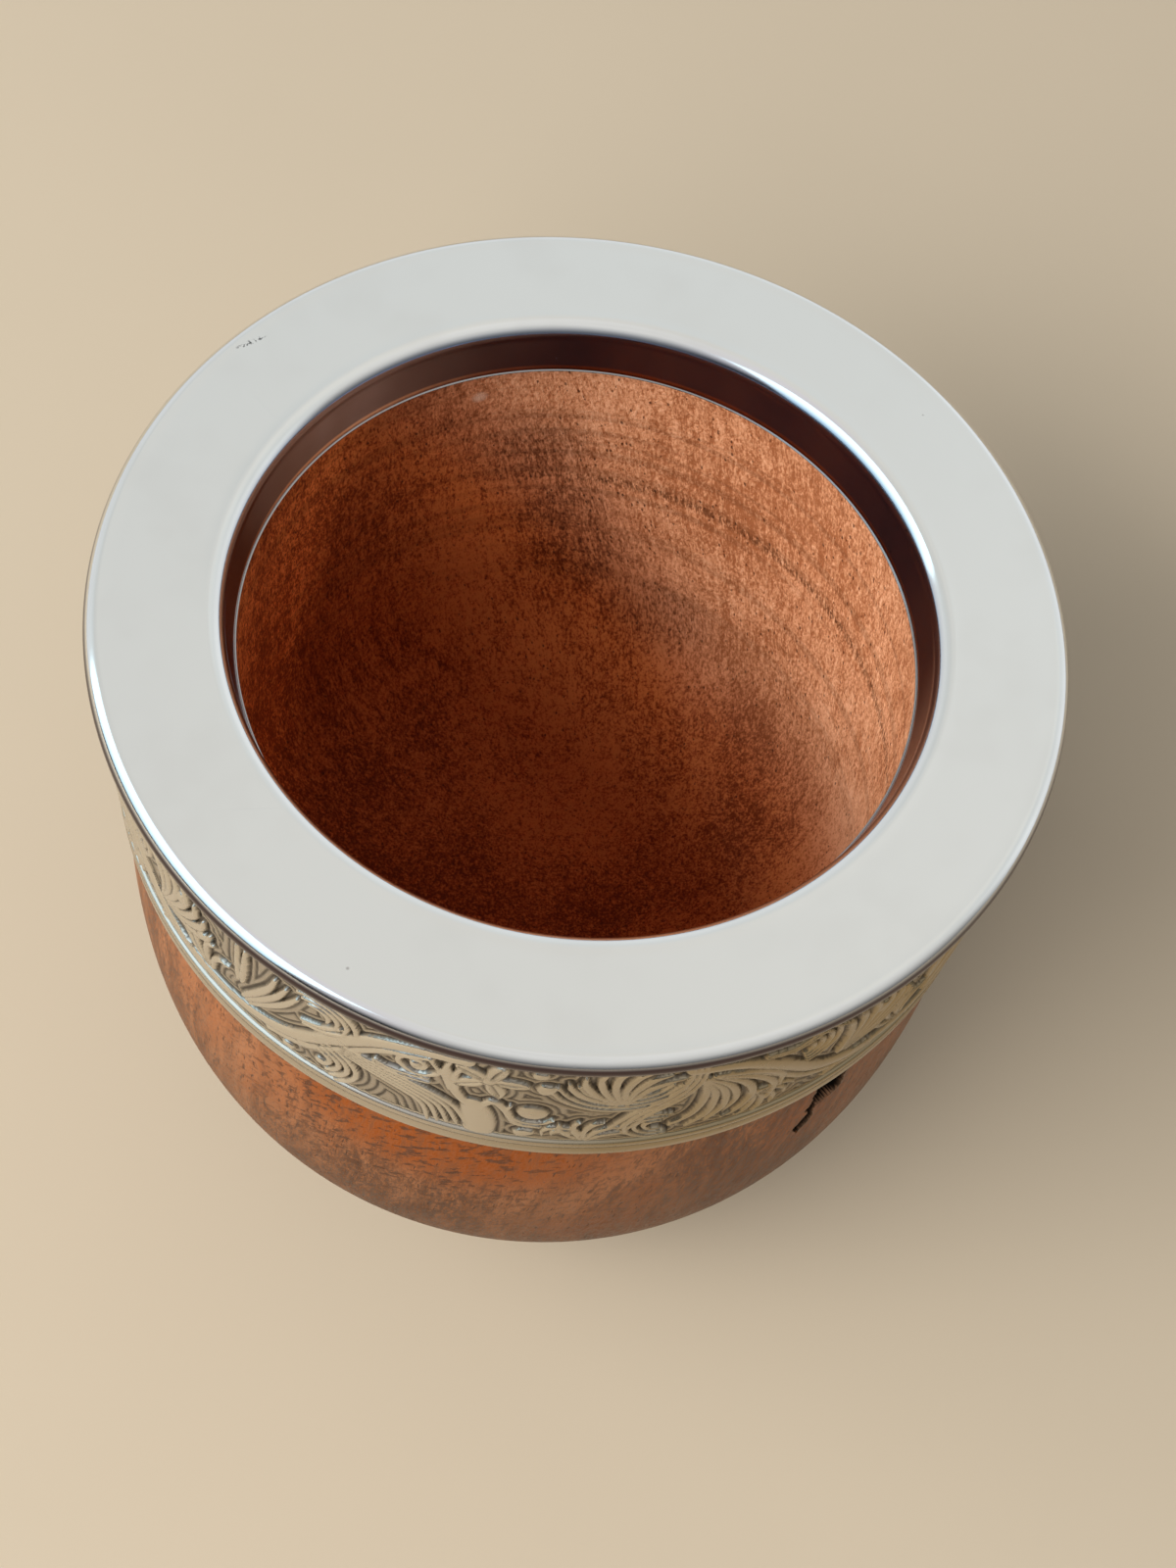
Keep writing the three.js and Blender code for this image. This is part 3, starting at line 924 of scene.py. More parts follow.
@dataclass(frozen=True)
class PolishedMetal(Finish):
    """Polished nickel-silver sheet with hair scratches and wiped smudges."""

    name: str = "polished_metal"
    colour: Triple = (0.87, 0.87, 0.85)
    smudge: Triple = (0.80, 0.79, 0.765)
    speck: Triple = (0.35, 0.33, 0.31)
    scuff: Triple = (0.16, 0.16, 0.16)
    scuff_middle: Triple = (-36.6, 22.1, 80.0)
    scuff_degrees: float = 42.6
    scuff_size: Triple = (1.9, 0.34, 1.0)
    # Painted reflection: the throat's sleeve is darkened and tinted purple, as if it mirrored the shaded
    # hollow.
    sleeve_dark_reflection: Triple = (0.25, 0.30, 0.43)
    sleeve_dark_way: Triple = (0.9, 0.4, 0.0)
    sleeve_dark_reach: Pair = (28.0, -26.0)
    sleeve_dark_top: Pair = (79.7, 78.9)
    sleeve_dark_foot: Pair = (74.9, 75.2)
    sleeve_dark_film: float = 0.012
    # Tarnish with painted shade: darkens the bead's underside and the sleeve's lip.
    tarnish_and_shade: Triple = (0.075, 0.052, 0.056)
    bead_inside: float = 42.0
    bead_heights: Pair = (79.5, 79.0)
    lip_heights: Pair = (75.0, 74.6)
    roughness: float = 0.11

    def wire(self, shade: Shade, shader: Node) -> None:
        """Feed the shader.

        Args:
            shade: Builder of the material's tree.
            shader: The material's Principled shader.
        """
        wear = WEAR.place(shade, Scratch_Scale=1.1, Smudge_Scale=0.09).outputs
        tinted = shade.blend(shade.ramp(wear["Smudges"], 0.45, 0.75, 0.0, 0.35), self.colour, self.smudge)
        marked = shade.blend(shade.maths("MULTIPLY", wear["Specks"], 0.6), tinted, self.speck)
        scuffed = shade.blend(self.scuff_share(shade), marked, self.scuff)
        # Painted reflection of the shaded hollow on the sleeve; its Metallic drops a little there too.
        sleeve_darkened = self.sleeve_dark_reflection_share(shade)
        throat = shade.blend(sleeve_darkened, scuffed, self.sleeve_dark_reflection, "MULTIPLY")
        # Painted shade and tarnish under the bead and on the sleeve's lip.
        shade.feed(shader.inputs["Base Color"], shade.blend(self.tarnish_and_shade_share(shade), throat, self.tarnish_and_shade))
        film = shade.maths("MULTIPLY", sleeve_darkened, self.sleeve_dark_film)
        shade.feed(shader.inputs["Metallic"], shade.maths("SUBTRACT", 1.0, film))
        smudged = shade.ramp(wear["Smudges"], 0.3, 0.75, self.roughness, self.roughness + 0.08)
        worn = shade.maths("MULTIPLY", wear["Scratches"], 0.10)
        shade.feed(shader.inputs["Roughness"], shade.maths("ADD", smudged, worn))
        swell = bump(shade, wear["Swell"], 0.25, 0.25)
        shade.feed(shader.inputs["Normal"], bump(shade, wear["Scratches"], 0.12, -0.02, swell))

    def sleeve_dark_reflection_share(self, shade: Shade) -> Socket:
        """Share of the painted purple reflection of the shaded hollow on the throat's sleeve, down to its
        lip.

        Args:
            shade: Builder of the material's tree.

        Returns:
            Socket from 0 to 1.
        """
        height = height_over_floor(shade)
        side = shade.ramp(shade.dot(millimetres(shade), self.sleeve_dark_way), *self.sleeve_dark_reach, 0.88, 0.98)
        top, foot = shade.ramp(height, *self.sleeve_dark_top), shade.ramp(height, *self.sleeve_dark_foot)
        return shade.maths("MULTIPLY", shade.maths("MULTIPLY", top, foot), side)

    def tarnish_and_shade_share(self, shade: Shade) -> Socket:
        """Tarnish and painted shade on the underside of the rolled bead and, thinner, on the sleeve's lip.

        Args:
            shade: Builder of the material's tree.

        Returns:
            Socket from 0 to 1.
        """
        parts = shade.node("ShaderNodeSeparateXYZ", {0: millimetres(shade)}).outputs
        flat = shade.node("ShaderNodeCombineXYZ", {0: parts[0], 1: parts[1], 2: 0.0}).outputs[0]
        outer = shade.maths("GREATER_THAN", shade.away(flat, (0.0, 0.0, 0.0)), self.bead_inside)
        bead = shade.maths("MULTIPLY", shade.ramp(parts[2], *self.bead_heights), outer)
        return shade.maths("MAXIMUM", bead, shade.ramp(parts[2], *self.lip_heights, 0.0, 0.6))

    def scuff_share(self, shade: Shade) -> Socket:
        """Broken line of small scuffs near the outer edge at the far left.

        Args:
            shade: Builder of the material's tree.

        Returns:
            Socket from 0 to 1.
        """
        place = shade.vector("SUBTRACT", millimetres(shade), self.scuff_middle)
        swung = shade.swung(place, (0.0, 0.0, self.scuff_degrees), self.scuff_size)
        inside = shade.ramp(shade.away(swung, (0.0, 0.0, 0.0)), 1.0, 0.5)
        broken = shade.ramp(shade.noise(place, 2.6, 2.0, 0.7), 0.50, 0.60)
        return shade.maths("MULTIPLY", inside, broken)


@dataclass(frozen=True)
class ChasedMetal(Finish):
    """Chased metal: bright on the raised forms, brown tarnish and painted shade in the recesses, painted
    golden shade on the right.
    """

    name: str = "chased_metal"
    bright: Triple = (0.70, 0.655, 0.575)
    ground: Triple = (0.47, 0.425, 0.36)
    # Tarnish with painted shade in the recesses.
    tarnish_and_shade: Triple = (0.105, 0.088, 0.075)
    # Painted golden shade and reflection, darker and warmer on the right.
    warm_shade: Triple = (0.50, 0.42, 0.29)
    warm_shade_way: Triple = (0.96, -0.28, 0.0)
    warm_shade_reach: Pair = (2.0, 36.0)
    border_heights: Pair = (59.4, 58.6)

    def wire(self, shade: Shade, shader: Node) -> None:
        """Feed the shader.

        Args:
            shade: Builder of the material's tree.
            shader: The material's Principled shader.
        """
        wear = WEAR.place(shade, Scratch_Scale=1.6, Smudge_Scale=0.25).outputs
        recess = shade.mark("recess")
        raised = shade.blend(shade.ramp(shade.mark("relief"), 0.05, 0.55), self.ground, self.bright)
        uneven = shade.maths("MULTIPLY", recess, shade.ramp(wear["Smudges"], 0.25, 0.7, 0.75, 1.0))
        # Painted golden shade and reflection, strongest on the right.
        warm_shaded = shade.blend(self.warm_shade_share(shade), raised, self.warm_shade, "MULTIPLY")
        # Tarnish and painted shade darken the recesses.
        shade.feed(shader.inputs["Base Color"], shade.blend(uneven, warm_shaded, self.tarnish_and_shade))
        shader.inputs["Metallic"].default_value = 1.0
        dull = shade.maths("MULTIPLY", recess, 0.22)
        soft = shade.ramp(wear["Smudges"], 0.3, 0.75, 0.20, 0.30)
        shade.feed(shader.inputs["Roughness"], shade.maths("ADD", soft, dull))
        shade.feed(shader.inputs["Normal"], bump(shade, wear["Scratches"], 0.2, -0.03))

    def warm_shade_share(self, shade: Shade) -> Socket:
        """Painted golden shade and reflection: none on the left, full on the right, and a little more on the
        lower border.

        Args:
            shade: Builder of the material's tree.

        Returns:
            Socket from 0 to 1.
        """
        side = shade.ramp(shade.dot(millimetres(shade), self.warm_shade_way), *self.warm_shade_reach)
        border = shade.ramp(height_over_floor(shade), *self.border_heights, 0.0, 0.35)
        return shade.maths("ADD", side, border, clamp=True)


@dataclass(frozen=True)
class PaleFloor(Finish):
    """Plain pale floor with a faint unevenness."""

    name: str = "pale_floor"
    colour: Triple = (0.55, 0.455, 0.335)
    darkest: float = 0.96
    roughness: float = 0.7

    def wire(self, shade: Shade, shader: Node) -> None:
        """Feed the shader.

        Args:
            shade: Builder of the material's tree.
            shader: The material's Principled shader.
        """
        fine = shade.noise(millimetres(shade), 0.02, 3.0)
        second = tuple(self.darkest * part for part in self.colour)
        shade.feed(shader.inputs["Base Color"], shade.blend(fine, self.colour, second))
        shader.inputs["Roughness"].default_value = self.roughness


@dataclass
class WoodBowl:
    """Turned wooden bowl: oiled outside, neck under the metal, raw hollow and an open check.

    Places along the check run from 0 at its top, behind the band, to 1 at its lower end.
    """

    sizes: CupSizes
    belly_waist: float = 0.956
    belly_swell: float = 0.018
    belly_tuck: float = 0.202
    foot_ease: float = 0.9
    cavity_radius: float = 33.2
    cavity_neck: float = 32.0
    cavity_bend: float = 36.0
    cavity_power: float = 2.3
    floor_height: float = 11.0
    mark_drop: float = 24.4
    check_degrees: float = 47.1
    check_top: float = 2.5
    check_length: float = 15.0
    check_depth: float = 5.0
    check_drift: float = 2.1
    check_half_width: float = 1.5
    check_neck: Pair = (0.61, 0.70)
    check_step: Pair = (0.57, 0.70)
    check_step_share: float = 0.62
    check_second: Pair = (0.87, 0.09)
    check_second_half: float = 0.66
    check_thread: float = 0.26
    check_end: Pair = (0.95, 1.02)
    check_ragged: Pair = (0.13, 0.11)
    check_wall: Pair = (-0.05, 0.30)
    belly_inside: float = 36.0
    belly_unevenness: float = 0.03
    mark_depth: float = 0.03
    mark_width: float = 0.8
    turning_marks: tuple[Triple, ...] = ((0.012, 2.9, 0.0), (0.008, 7.3, 1.0))
    check_margin: float = 0.8
    ledge_ease: float = 0.3
    edge_radius: float = 0.35
    row_step: float = 0.13
    coarse_columns: int = 300
    fine_step: float = 0.11

    def outer_radius(self, z: np.ndarray) -> np.ndarray:
        """Radius of the belly at a height."""
        s = (self.sizes.band_low - z) / self.sizes.rim_radius
        return self.sizes.rim_radius * (self.belly_waist + self.belly_swell * s - self.belly_tuck * s**4)

    def hollow_radius(self, z: np.ndarray) -> np.ndarray:
        """Radius of the hollow's wall above its rounded bottom, with its faint turning marks.

        Args:
            z: Heights in millimetres.

        Returns:
            Radii in millimetres.
        """
        top = self.sizes.sleeve_low
        share = (z - self.cavity_bend) / (top - self.cavity_bend)
        wall = self.cavity_radius + (self.cavity_neck - self.cavity_radius) * share**2
        mark = self.sizes.height - self.mark_drop
        groove = self.mark_depth * np.exp(-(((z - mark) / self.mark_width) ** 2))
        ripple = sum(depth * np.sin(z * rate + phase) for depth, rate, phase in self.turning_marks)
        return wall + groove + ripple

    def angles(self) -> np.ndarray:
        """Angles of the columns, close together across the check.

        Returns:
            Angles in radians, one turn in all.
        """
        middle = math.radians(self.check_degrees) - 0.5 * self.check_drift / self.sizes.band_inner_low
        half = (self.check_half_width + 0.5 * self.check_drift + 0.5) / self.sizes.band_inner_low
        fine = np.arange(middle - half, middle + half, self.fine_step / self.sizes.band_inner_low)
        rest = np.linspace(middle + half, middle - half + 2 * math.pi, self.coarse_columns, endpoint=False)
        return np.concatenate([fine, rest])

    def profile(self) -> tuple[np.ndarray, int]:
        """Profile from the foot over the lip to the floor of the hollow.

        Returns:
            The profile's (radius, height) rows, and the row where the raw hollow starts.
        """
        size = self.sizes
        ledge = size.band_low - size.gap
        wood_top = size.height - size.sheet - size.gap
        sleeve_ledge = size.sleeve_low - size.gap
        housing = size.mouth_radius + size.sheet + size.gap
        foot = float(self.outer_radius(np.array(0.0))) - self.foot_ease
        check_low = size.band_low + self.check_top - self.check_length - self.check_margin
        low = np.linspace(self.foot_ease, check_low, 60, endpoint=False)
        high = np.arange(check_low, ledge - self.ledge_ease, self.row_step)
        heights = np.concatenate([low, high, [ledge - self.ledge_ease, ledge - 0.12]])
        belly = np.stack([self.outer_radius(heights), heights], axis=1)
        outer = float(self.outer_radius(np.array(ledge)))
        neck_low, neck_top = size.band_inner(ledge) - size.gap, size.band_inner(wood_top) - size.gap
        base = np.stack([np.linspace(2.0, foot, 12), np.full(12, 0.0)], axis=1)
        ease = np.array([[foot + 0.45, 0.12], [foot + 0.8, 0.45]])
        lip = np.array([[outer - 0.12, ledge], [neck_low, ledge], [neck_top, wood_top]])
        inside = np.array(
            [
                [housing + size.shoulder_radius, wood_top],
                [housing, wood_top - size.shoulder_radius],
                [housing - size.sleeve_draft, sleeve_ledge],
            ]
        )
        edge_middle = (self.cavity_neck + self.edge_radius, sleeve_ledge - self.edge_radius)
        edge = arc(edge_middle, self.edge_radius, 90, 180, 4)
        walls = np.linspace(sleeve_ledge - 0.5, self.cavity_bend, 110)
        wall = np.stack([self.hollow_radius(walls), walls], axis=1)
        bend = np.radians(np.linspace(0, 90, 60)[1:-1])
        drop = self.cavity_bend - self.floor_height
        power = 2 / self.cavity_power
        bottom_radius = self.cavity_radius * np.cos(bend) ** power
        bottom = np.stack([bottom_radius, self.cavity_bend - drop * np.sin(bend) ** power], axis=1)
        before = np.concatenate([base, ease, belly, lip, inside])
        return np.concatenate([before, edge, wall, bottom]), len(before)

    def check_inside(self, angle: np.ndarray, z: np.ndarray) -> np.ndarray:
        """How far a place on the outside lies within the open check.

        Args:
            angle: Angles in radians.
            z: Heights in millimetres.

        Returns:
            Millimetres from its edge, below 0 outside it.
        """
        along = (self.sizes.band_low + self.check_top - z) / self.check_length
        t = np.clip(along, 0, 1)
        across = (angle - math.radians(self.check_degrees)) * self.sizes.band_inner_low
        stepped = self.check_step_share * smooth_step(*self.check_step, t)
        slid = (1 - self.check_step_share) * smooth_step(self.check_step[1], 1.0, t)
        drifted = -self.check_drift * (stepped + slid)
        side = np.sign(across - drifted)
        middle = drifted + 0.10 * wavy(t * 10, 5, (1.0, 2.3, 4.1))
        upper = self.check_half_width * (1 - smooth_step(*self.check_neck, t))
        second, reach = self.check_second
        lower = self.check_second_half * np.exp(-(((t - second) / reach) ** 2))
        half = (upper + lower + self.check_thread) * (1 - smooth_step(*self.check_end, t))
        fine, coarse = self.check_ragged
        roughness = fine + coarse * (t < 0.6)
        ragged = roughness * wavy(t * 14 + 3 * side, 9, (1.7, 3.9, 7.7, 13.0))
        within = half + ragged - np.abs(across - middle)
        return np.where((along > -0.2) & (along < self.check_end[1]), within, -FAR)

    def build(self) -> bpy.types.Object:
        """Make the bowl.

        Returns:
            The finished object, riding on the cup.
        """
        profile, raw_row = self.profile()
        angles = self.angles()
        radius = profile[:, 0][:, None] + 0 * angles
        height = profile[:, 1][:, None] + 0 * angles
        oiled = (np.arange(len(profile)) < raw_row)[:, None]
        outside = oiled & (height < self.sizes.band_low) & (radius > self.belly_inside)
        within = np.where(outside, self.check_inside(angles[None, :], height), -FAR)
        carved = smooth_step(*self.check_wall, within)
        mark = np.clip(0.5 + within, 0, 1)
        uneven = self.belly_unevenness * wavy(angles, 21, (2.0, 3.0, 5.0))[None, :] * outside
        radius = radius - carved * self.check_depth + uneven
        points = around(radius, height, angles[None, :])
        poles = {"first_pole": 0.0, "last_pole": self.floor_height}
        made = RingMesh("turned_wood_bowl", points, marks={"check": mark}, **poles).build()
        made.data.materials.append(OiledWood().material())
        made.data.materials.append(RawWood().material())
        columns = len(angles)
        kinds = np.zeros(len(made.data.polygons), np.int32)
        kinds[(raw_row - 1) * columns : (len(profile) - 1) * columns] = 1
        kinds[-columns:] = 1
        made.data.polygons.foreach_set("material_index", kinds)
        return seat(made, Slot.WOOD, "wood_bowl")


def seat(piece: bpy.types.Object, slot: Slot, *nodes: str) -> bpy.types.Object:
    """Let a piece ride on the cup in place of its plain solids.

    Args:
        piece: The finished piece.
        slot: The record's material slot; not used.
        *nodes: The solids that it stands for.

    Returns:
        The piece.
    """
    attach(piece, BODY)
    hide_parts(*nodes)
    return piece


@dataclass
class MetalRim:
    """Polished rim: rolled bead, flat top, rounded shoulder and throat sleeve in one sheet."""

    sizes: CupSizes
    columns: int = 360
    lip_rounding: float = 0.07
    lip_turn: float = 0.09
    top_dip: float = 0.03
    top_unevenness: float = 0.05

    def profile(self) -> np.ndarray:
        """Closed profile of the sheet, from the bead's underside round to the same place.

        Returns:
            An array of (radius, height) rows.
        """
        size = self.sizes
        bead_x, bead_z = size.rim_radius - size.bead_radius, size.height - size.bead_radius
        shoulder_x = size.mouth_radius + size.shoulder_radius
        shoulder_z = size.height - size.shoulder_radius
        bead = arc((bead_x, bead_z), size.bead_radius, -90, 90, 22)
        top = line((bead_x, size.height), (shoulder_x, size.height), 10)
        shoulder = arc((shoulder_x, shoulder_z), size.shoulder_radius, 90, 180, 14)[1:]
        wall_x, low = size.mouth_radius - size.sleeve_draft, size.sleeve_low
        turn, end = self.lip_turn, self.lip_rounding
        sleeve = line((size.mouth_radius, shoulder_z), (wall_x, low + 2 * end + turn), 10)
        hollow = arc((wall_x - turn, low + 2 * end + turn), turn, 0, -80, 6)[1:]
        lip = arc((wall_x - turn, low + end), end, 90, 270, 8)
        back = np.array(
            [
                [size.mouth_radius + size.sheet, shoulder_z],
                [shoulder_x, size.height - size.sheet],
                [size.band_inner_high + 0.1, size.height - size.sheet],
                [size.band_inner_high + 0.1, size.height - 2 * size.bead_radius + 0.05],
            ]
        )
        return np.concatenate([bead, top, shoulder, sleeve, hollow, lip, back])

    def build(self) -> bpy.types.Object:
        """Make the rim.

        Returns:
            The finished object, riding on the cup.
        """
        profile = self.profile()
        angles = np.linspace(0, 2 * math.pi, self.columns, endpoint=False)
        points = turned(profile, angles)
        uneven = self.top_unevenness * wavy(angles, 31, (2.0, 3.0, 4.0))
        level = np.abs(profile[:, 1] - self.sizes.height) < 0.01
        on_top = level & (profile[:, 0] > self.sizes.mouth_radius)
        points[on_top, :, 2] -= self.top_dip + uneven[None, :] * 0.5
        made = RingMesh("polished_rim", points, loops=True).build()
        made.data.materials.append(PolishedMetal().material())
        return seat(made, Slot.POLISHED, "metal_rim")


@dataclass(frozen=True)
class Stroke:
    """One raised or sunk stroke of the ornament, in millimetres on the flattened band."""

    points: tuple[Pair, ...]
    width: float
    rise: float = 0.5
    taper: float = 0.85

    def samples(self, count: int = 26) -> np.ndarray:
        """Points along the stroke's smooth curve.

        Args:
            count: Number of points.

        Returns:
            An array of rows of x, y and half the stroke's width there.
        """
        knots = np.array(self.points, float)
        padded = np.vstack([2 * knots[0] - knots[1], knots, 2 * knots[-1] - knots[-2]])
        at = np.linspace(0, len(knots) - 1 - 1e-6, count)
        k = at.astype(int)
        t = (at - k)[:, None]
        a, b, c, d = padded[k], padded[k + 1], padded[k + 2], padded[k + 3]
        square, cube = 2 * a - 5 * b + 4 * c - d, 3 * b - a - 3 * c + d
        curve = 0.5 * (2 * b + (c - a) * t + square * t**2 + cube * t**3)
        share = np.linspace(0, 1, count)
        swell = 1 - self.taper + self.taper * np.sin(np.pi * np.minimum(1, 0.12 + 0.83 * share)) ** 0.7
        return np.column_stack([curve, self.width / 2 * swell])


@dataclass(frozen=True)
class Fan:
    """Strokes that spread from a root, each bent to one side, as a leaf's lobes or a shell's ribs."""

    root: Pair
    length: float
    spread: Pair
    count: int
    bend: float
    width: float
    hook: float = 0.0
    rise: float = 0.5

    def strokes(self) -> list[Stroke]:
        """Draw the fan.

        Returns:
            Its strokes.
        """
        made = []
        for k in range(self.count):
            share = k / (self.count - 1) if self.count > 1 else 0.5
            angle = math.radians(self.spread[0] + (self.spread[1] - self.spread[0]) * share)
            reach = self.length * (1 - 0.22 * abs(share - 0.45))
            ahead = np.array([math.cos(angle) * reach, math.sin(angle) * reach])
            side = np.array([-math.sin(angle) * self.bend * reach, math.cos(angle) * self.bend * reach])
            places = ((0.10, 0.0), (0.45, 0.85), (0.80, 0.80), (1.0, -self.hook))
            points = tuple(tuple(self.root + ahead * part + side * sway) for part, sway in places)
            made.append(Stroke(points, self.width, self.rise))
        return made


@dataclass(frozen=True)
class Curl:
    """Spiral stroke that winds into a centre with a small boss."""

    centre: Pair
    radius: float
    start: float
    turns: float
    width: float
    rise: float = 0.5

    def strokes(self) -> list[Stroke]:
        """Draw the curl.

        Returns:
            Its spiral and its boss.
        """
        x, y = self.centre
        points = []
        for t in np.linspace(0, 1, 9):
            angle = math.radians(self.start + 360 * self.turns * t)
            reach = self.radius * (1 - 0.86 * t)
            points.append((x + reach * math.cos(angle), y + reach * math.sin(angle)))
        boss = Bud(self.centre, self.width * 0.75, 0.0, 1.0)
        return [Stroke(tuple(points), self.width, self.rise, 0.6), *boss.strokes()]


@dataclass(frozen=True)
class Bud:
    """Small round or long boss."""

    centre: Pair
    radius: float
    angle: float
    stretch: float
    rise: float = 0.5

    def strokes(self) -> list[Stroke]:
        """Draw the bud.

        Returns:
            One short, fat stroke.
        """
        half = max(self.radius * (self.stretch - 1), 0.12)
        dx, dy = half * math.cos(math.radians(self.angle)), half * math.sin(math.radians(self.angle))
        x, y = self.centre
        return [Stroke(((x - dx, y - dy), (x, y), (x + dx, y + dy)), 2 * self.radius, self.rise, 0.35)]


@dataclass(frozen=True)
class Flower:
    """Open flower: petals with a groove down each, round a boss."""

    centre: Pair
    radius: float
    petals: int
    width: float
    turn: float = 90.0
    petal_rise: float = 0.55
    groove_width: float = 0.55
    groove_depth: float = 0.35
    boss_radius: float = 0.7
    boss_rise: float = 0.6

    def strokes(self) -> list[Stroke]:
        """Draw the flower.

        Returns:
            Its petals, the groove down each, and its boss.
        """
        made = []
        for k in range(self.petals):
            angle = math.radians(self.turn + 360 * k / self.petals)
            way = np.array([math.cos(angle), math.sin(angle)])
            ends = tuple(tuple(self.centre + self.radius * part * way) for part in (0.22, 0.62, 1.0))
            made.append(Stroke(ends, self.width, self.petal_rise, 0.85))
            made.append(Stroke(ends, self.groove_width, -self.groove_depth, 0.8))
        return [*made, *Bud(self.centre, self.boss_radius, 0.0, 1.0, self.boss_rise).strokes()]


@dataclass(frozen=True)
class Plume:
    """Strokes that run side by side from one root and open out, as an acanthus leaf's veins."""

    points: tuple[Pair, ...]
    count: int
    root_gap: float
    tip_gap: float
    width: float
    rise: float = 0.5

    def strokes(self) -> list[Stroke]:
        """Draw the plume.

        Returns:
            Its strokes, from one side to the other.
        """
        knots = np.array(self.points, float)
        ahead = np.gradient(knots, axis=0)
        aside = np.stack([-ahead[:, 1], ahead[:, 0]], axis=1) / np.linalg.norm(ahead, axis=1)[:, None]
        gap = np.linspace(self.root_gap, self.tip_gap, len(knots))[:, None]
        made = []
        for k in range(self.count):
            path = knots + aside * gap * (k - (self.count - 1) / 2)
            made.append(Stroke(tuple(map(tuple, path)), self.width, self.rise, 0.6))
        return made


@dataclass(frozen=True)
class Nest:
    """Arcs about one centre, as the ribs of a shell or a curled frond."""

    centre: Pair
    radii: tuple[float, ...]
    start: float
    end: float
    width: float
    rise: float = 0.5

    def strokes(self) -> list[Stroke]:
        """Draw the nest.

        Returns:
            One stroke for each arc.
        """
        x, y = self.centre
        angles = [math.radians(self.start + (self.end - self.start) * k / 6) for k in range(7)]
        arcs = [tuple((x + r * math.cos(a), y + r * math.sin(a)) for a in angles) for r in self.radii]
        return [Stroke(points, self.width, self.rise, 0.7) for points in arcs]


@dataclass(frozen=True)
class Stem:
    """Running stem that swings between the border and the rim, with a thin one beside it."""

    start: float
    end: float
    length: float
    width: float
    low: float = 1.2
    high: float = 16.2
    crest: float = 0.467

    def height(self, x: float) -> float:
        """Height of the stem's middle at a place along the band."""
        swing = math.cos(2 * math.pi * (x - self.crest * self.length) / self.length) + 0.36
        return (self.low + self.high) / 2 + (self.high - self.low) / 2 * math.tanh(1.9 * swing)

    def strokes(self) -> list[Stroke]:
        """Draw the stem.

        Returns:
            The stem and its thin companion.
        """
        places = [self.start + (self.end - self.start) * k / 6 for k in range(7)]
        main = tuple((x, self.height(x)) for x in places)
        turn = 1.0 if main[-1][1] > main[0][1] else -1.0
        beside = tuple((x + 0.95 * turn, y - 1.15) for x, y in main[1:-1])
        return [Stroke(main, self.width, 0.55, 0.3), Stroke(beside, 0.6 * self.width, 0.4, 0.5)]


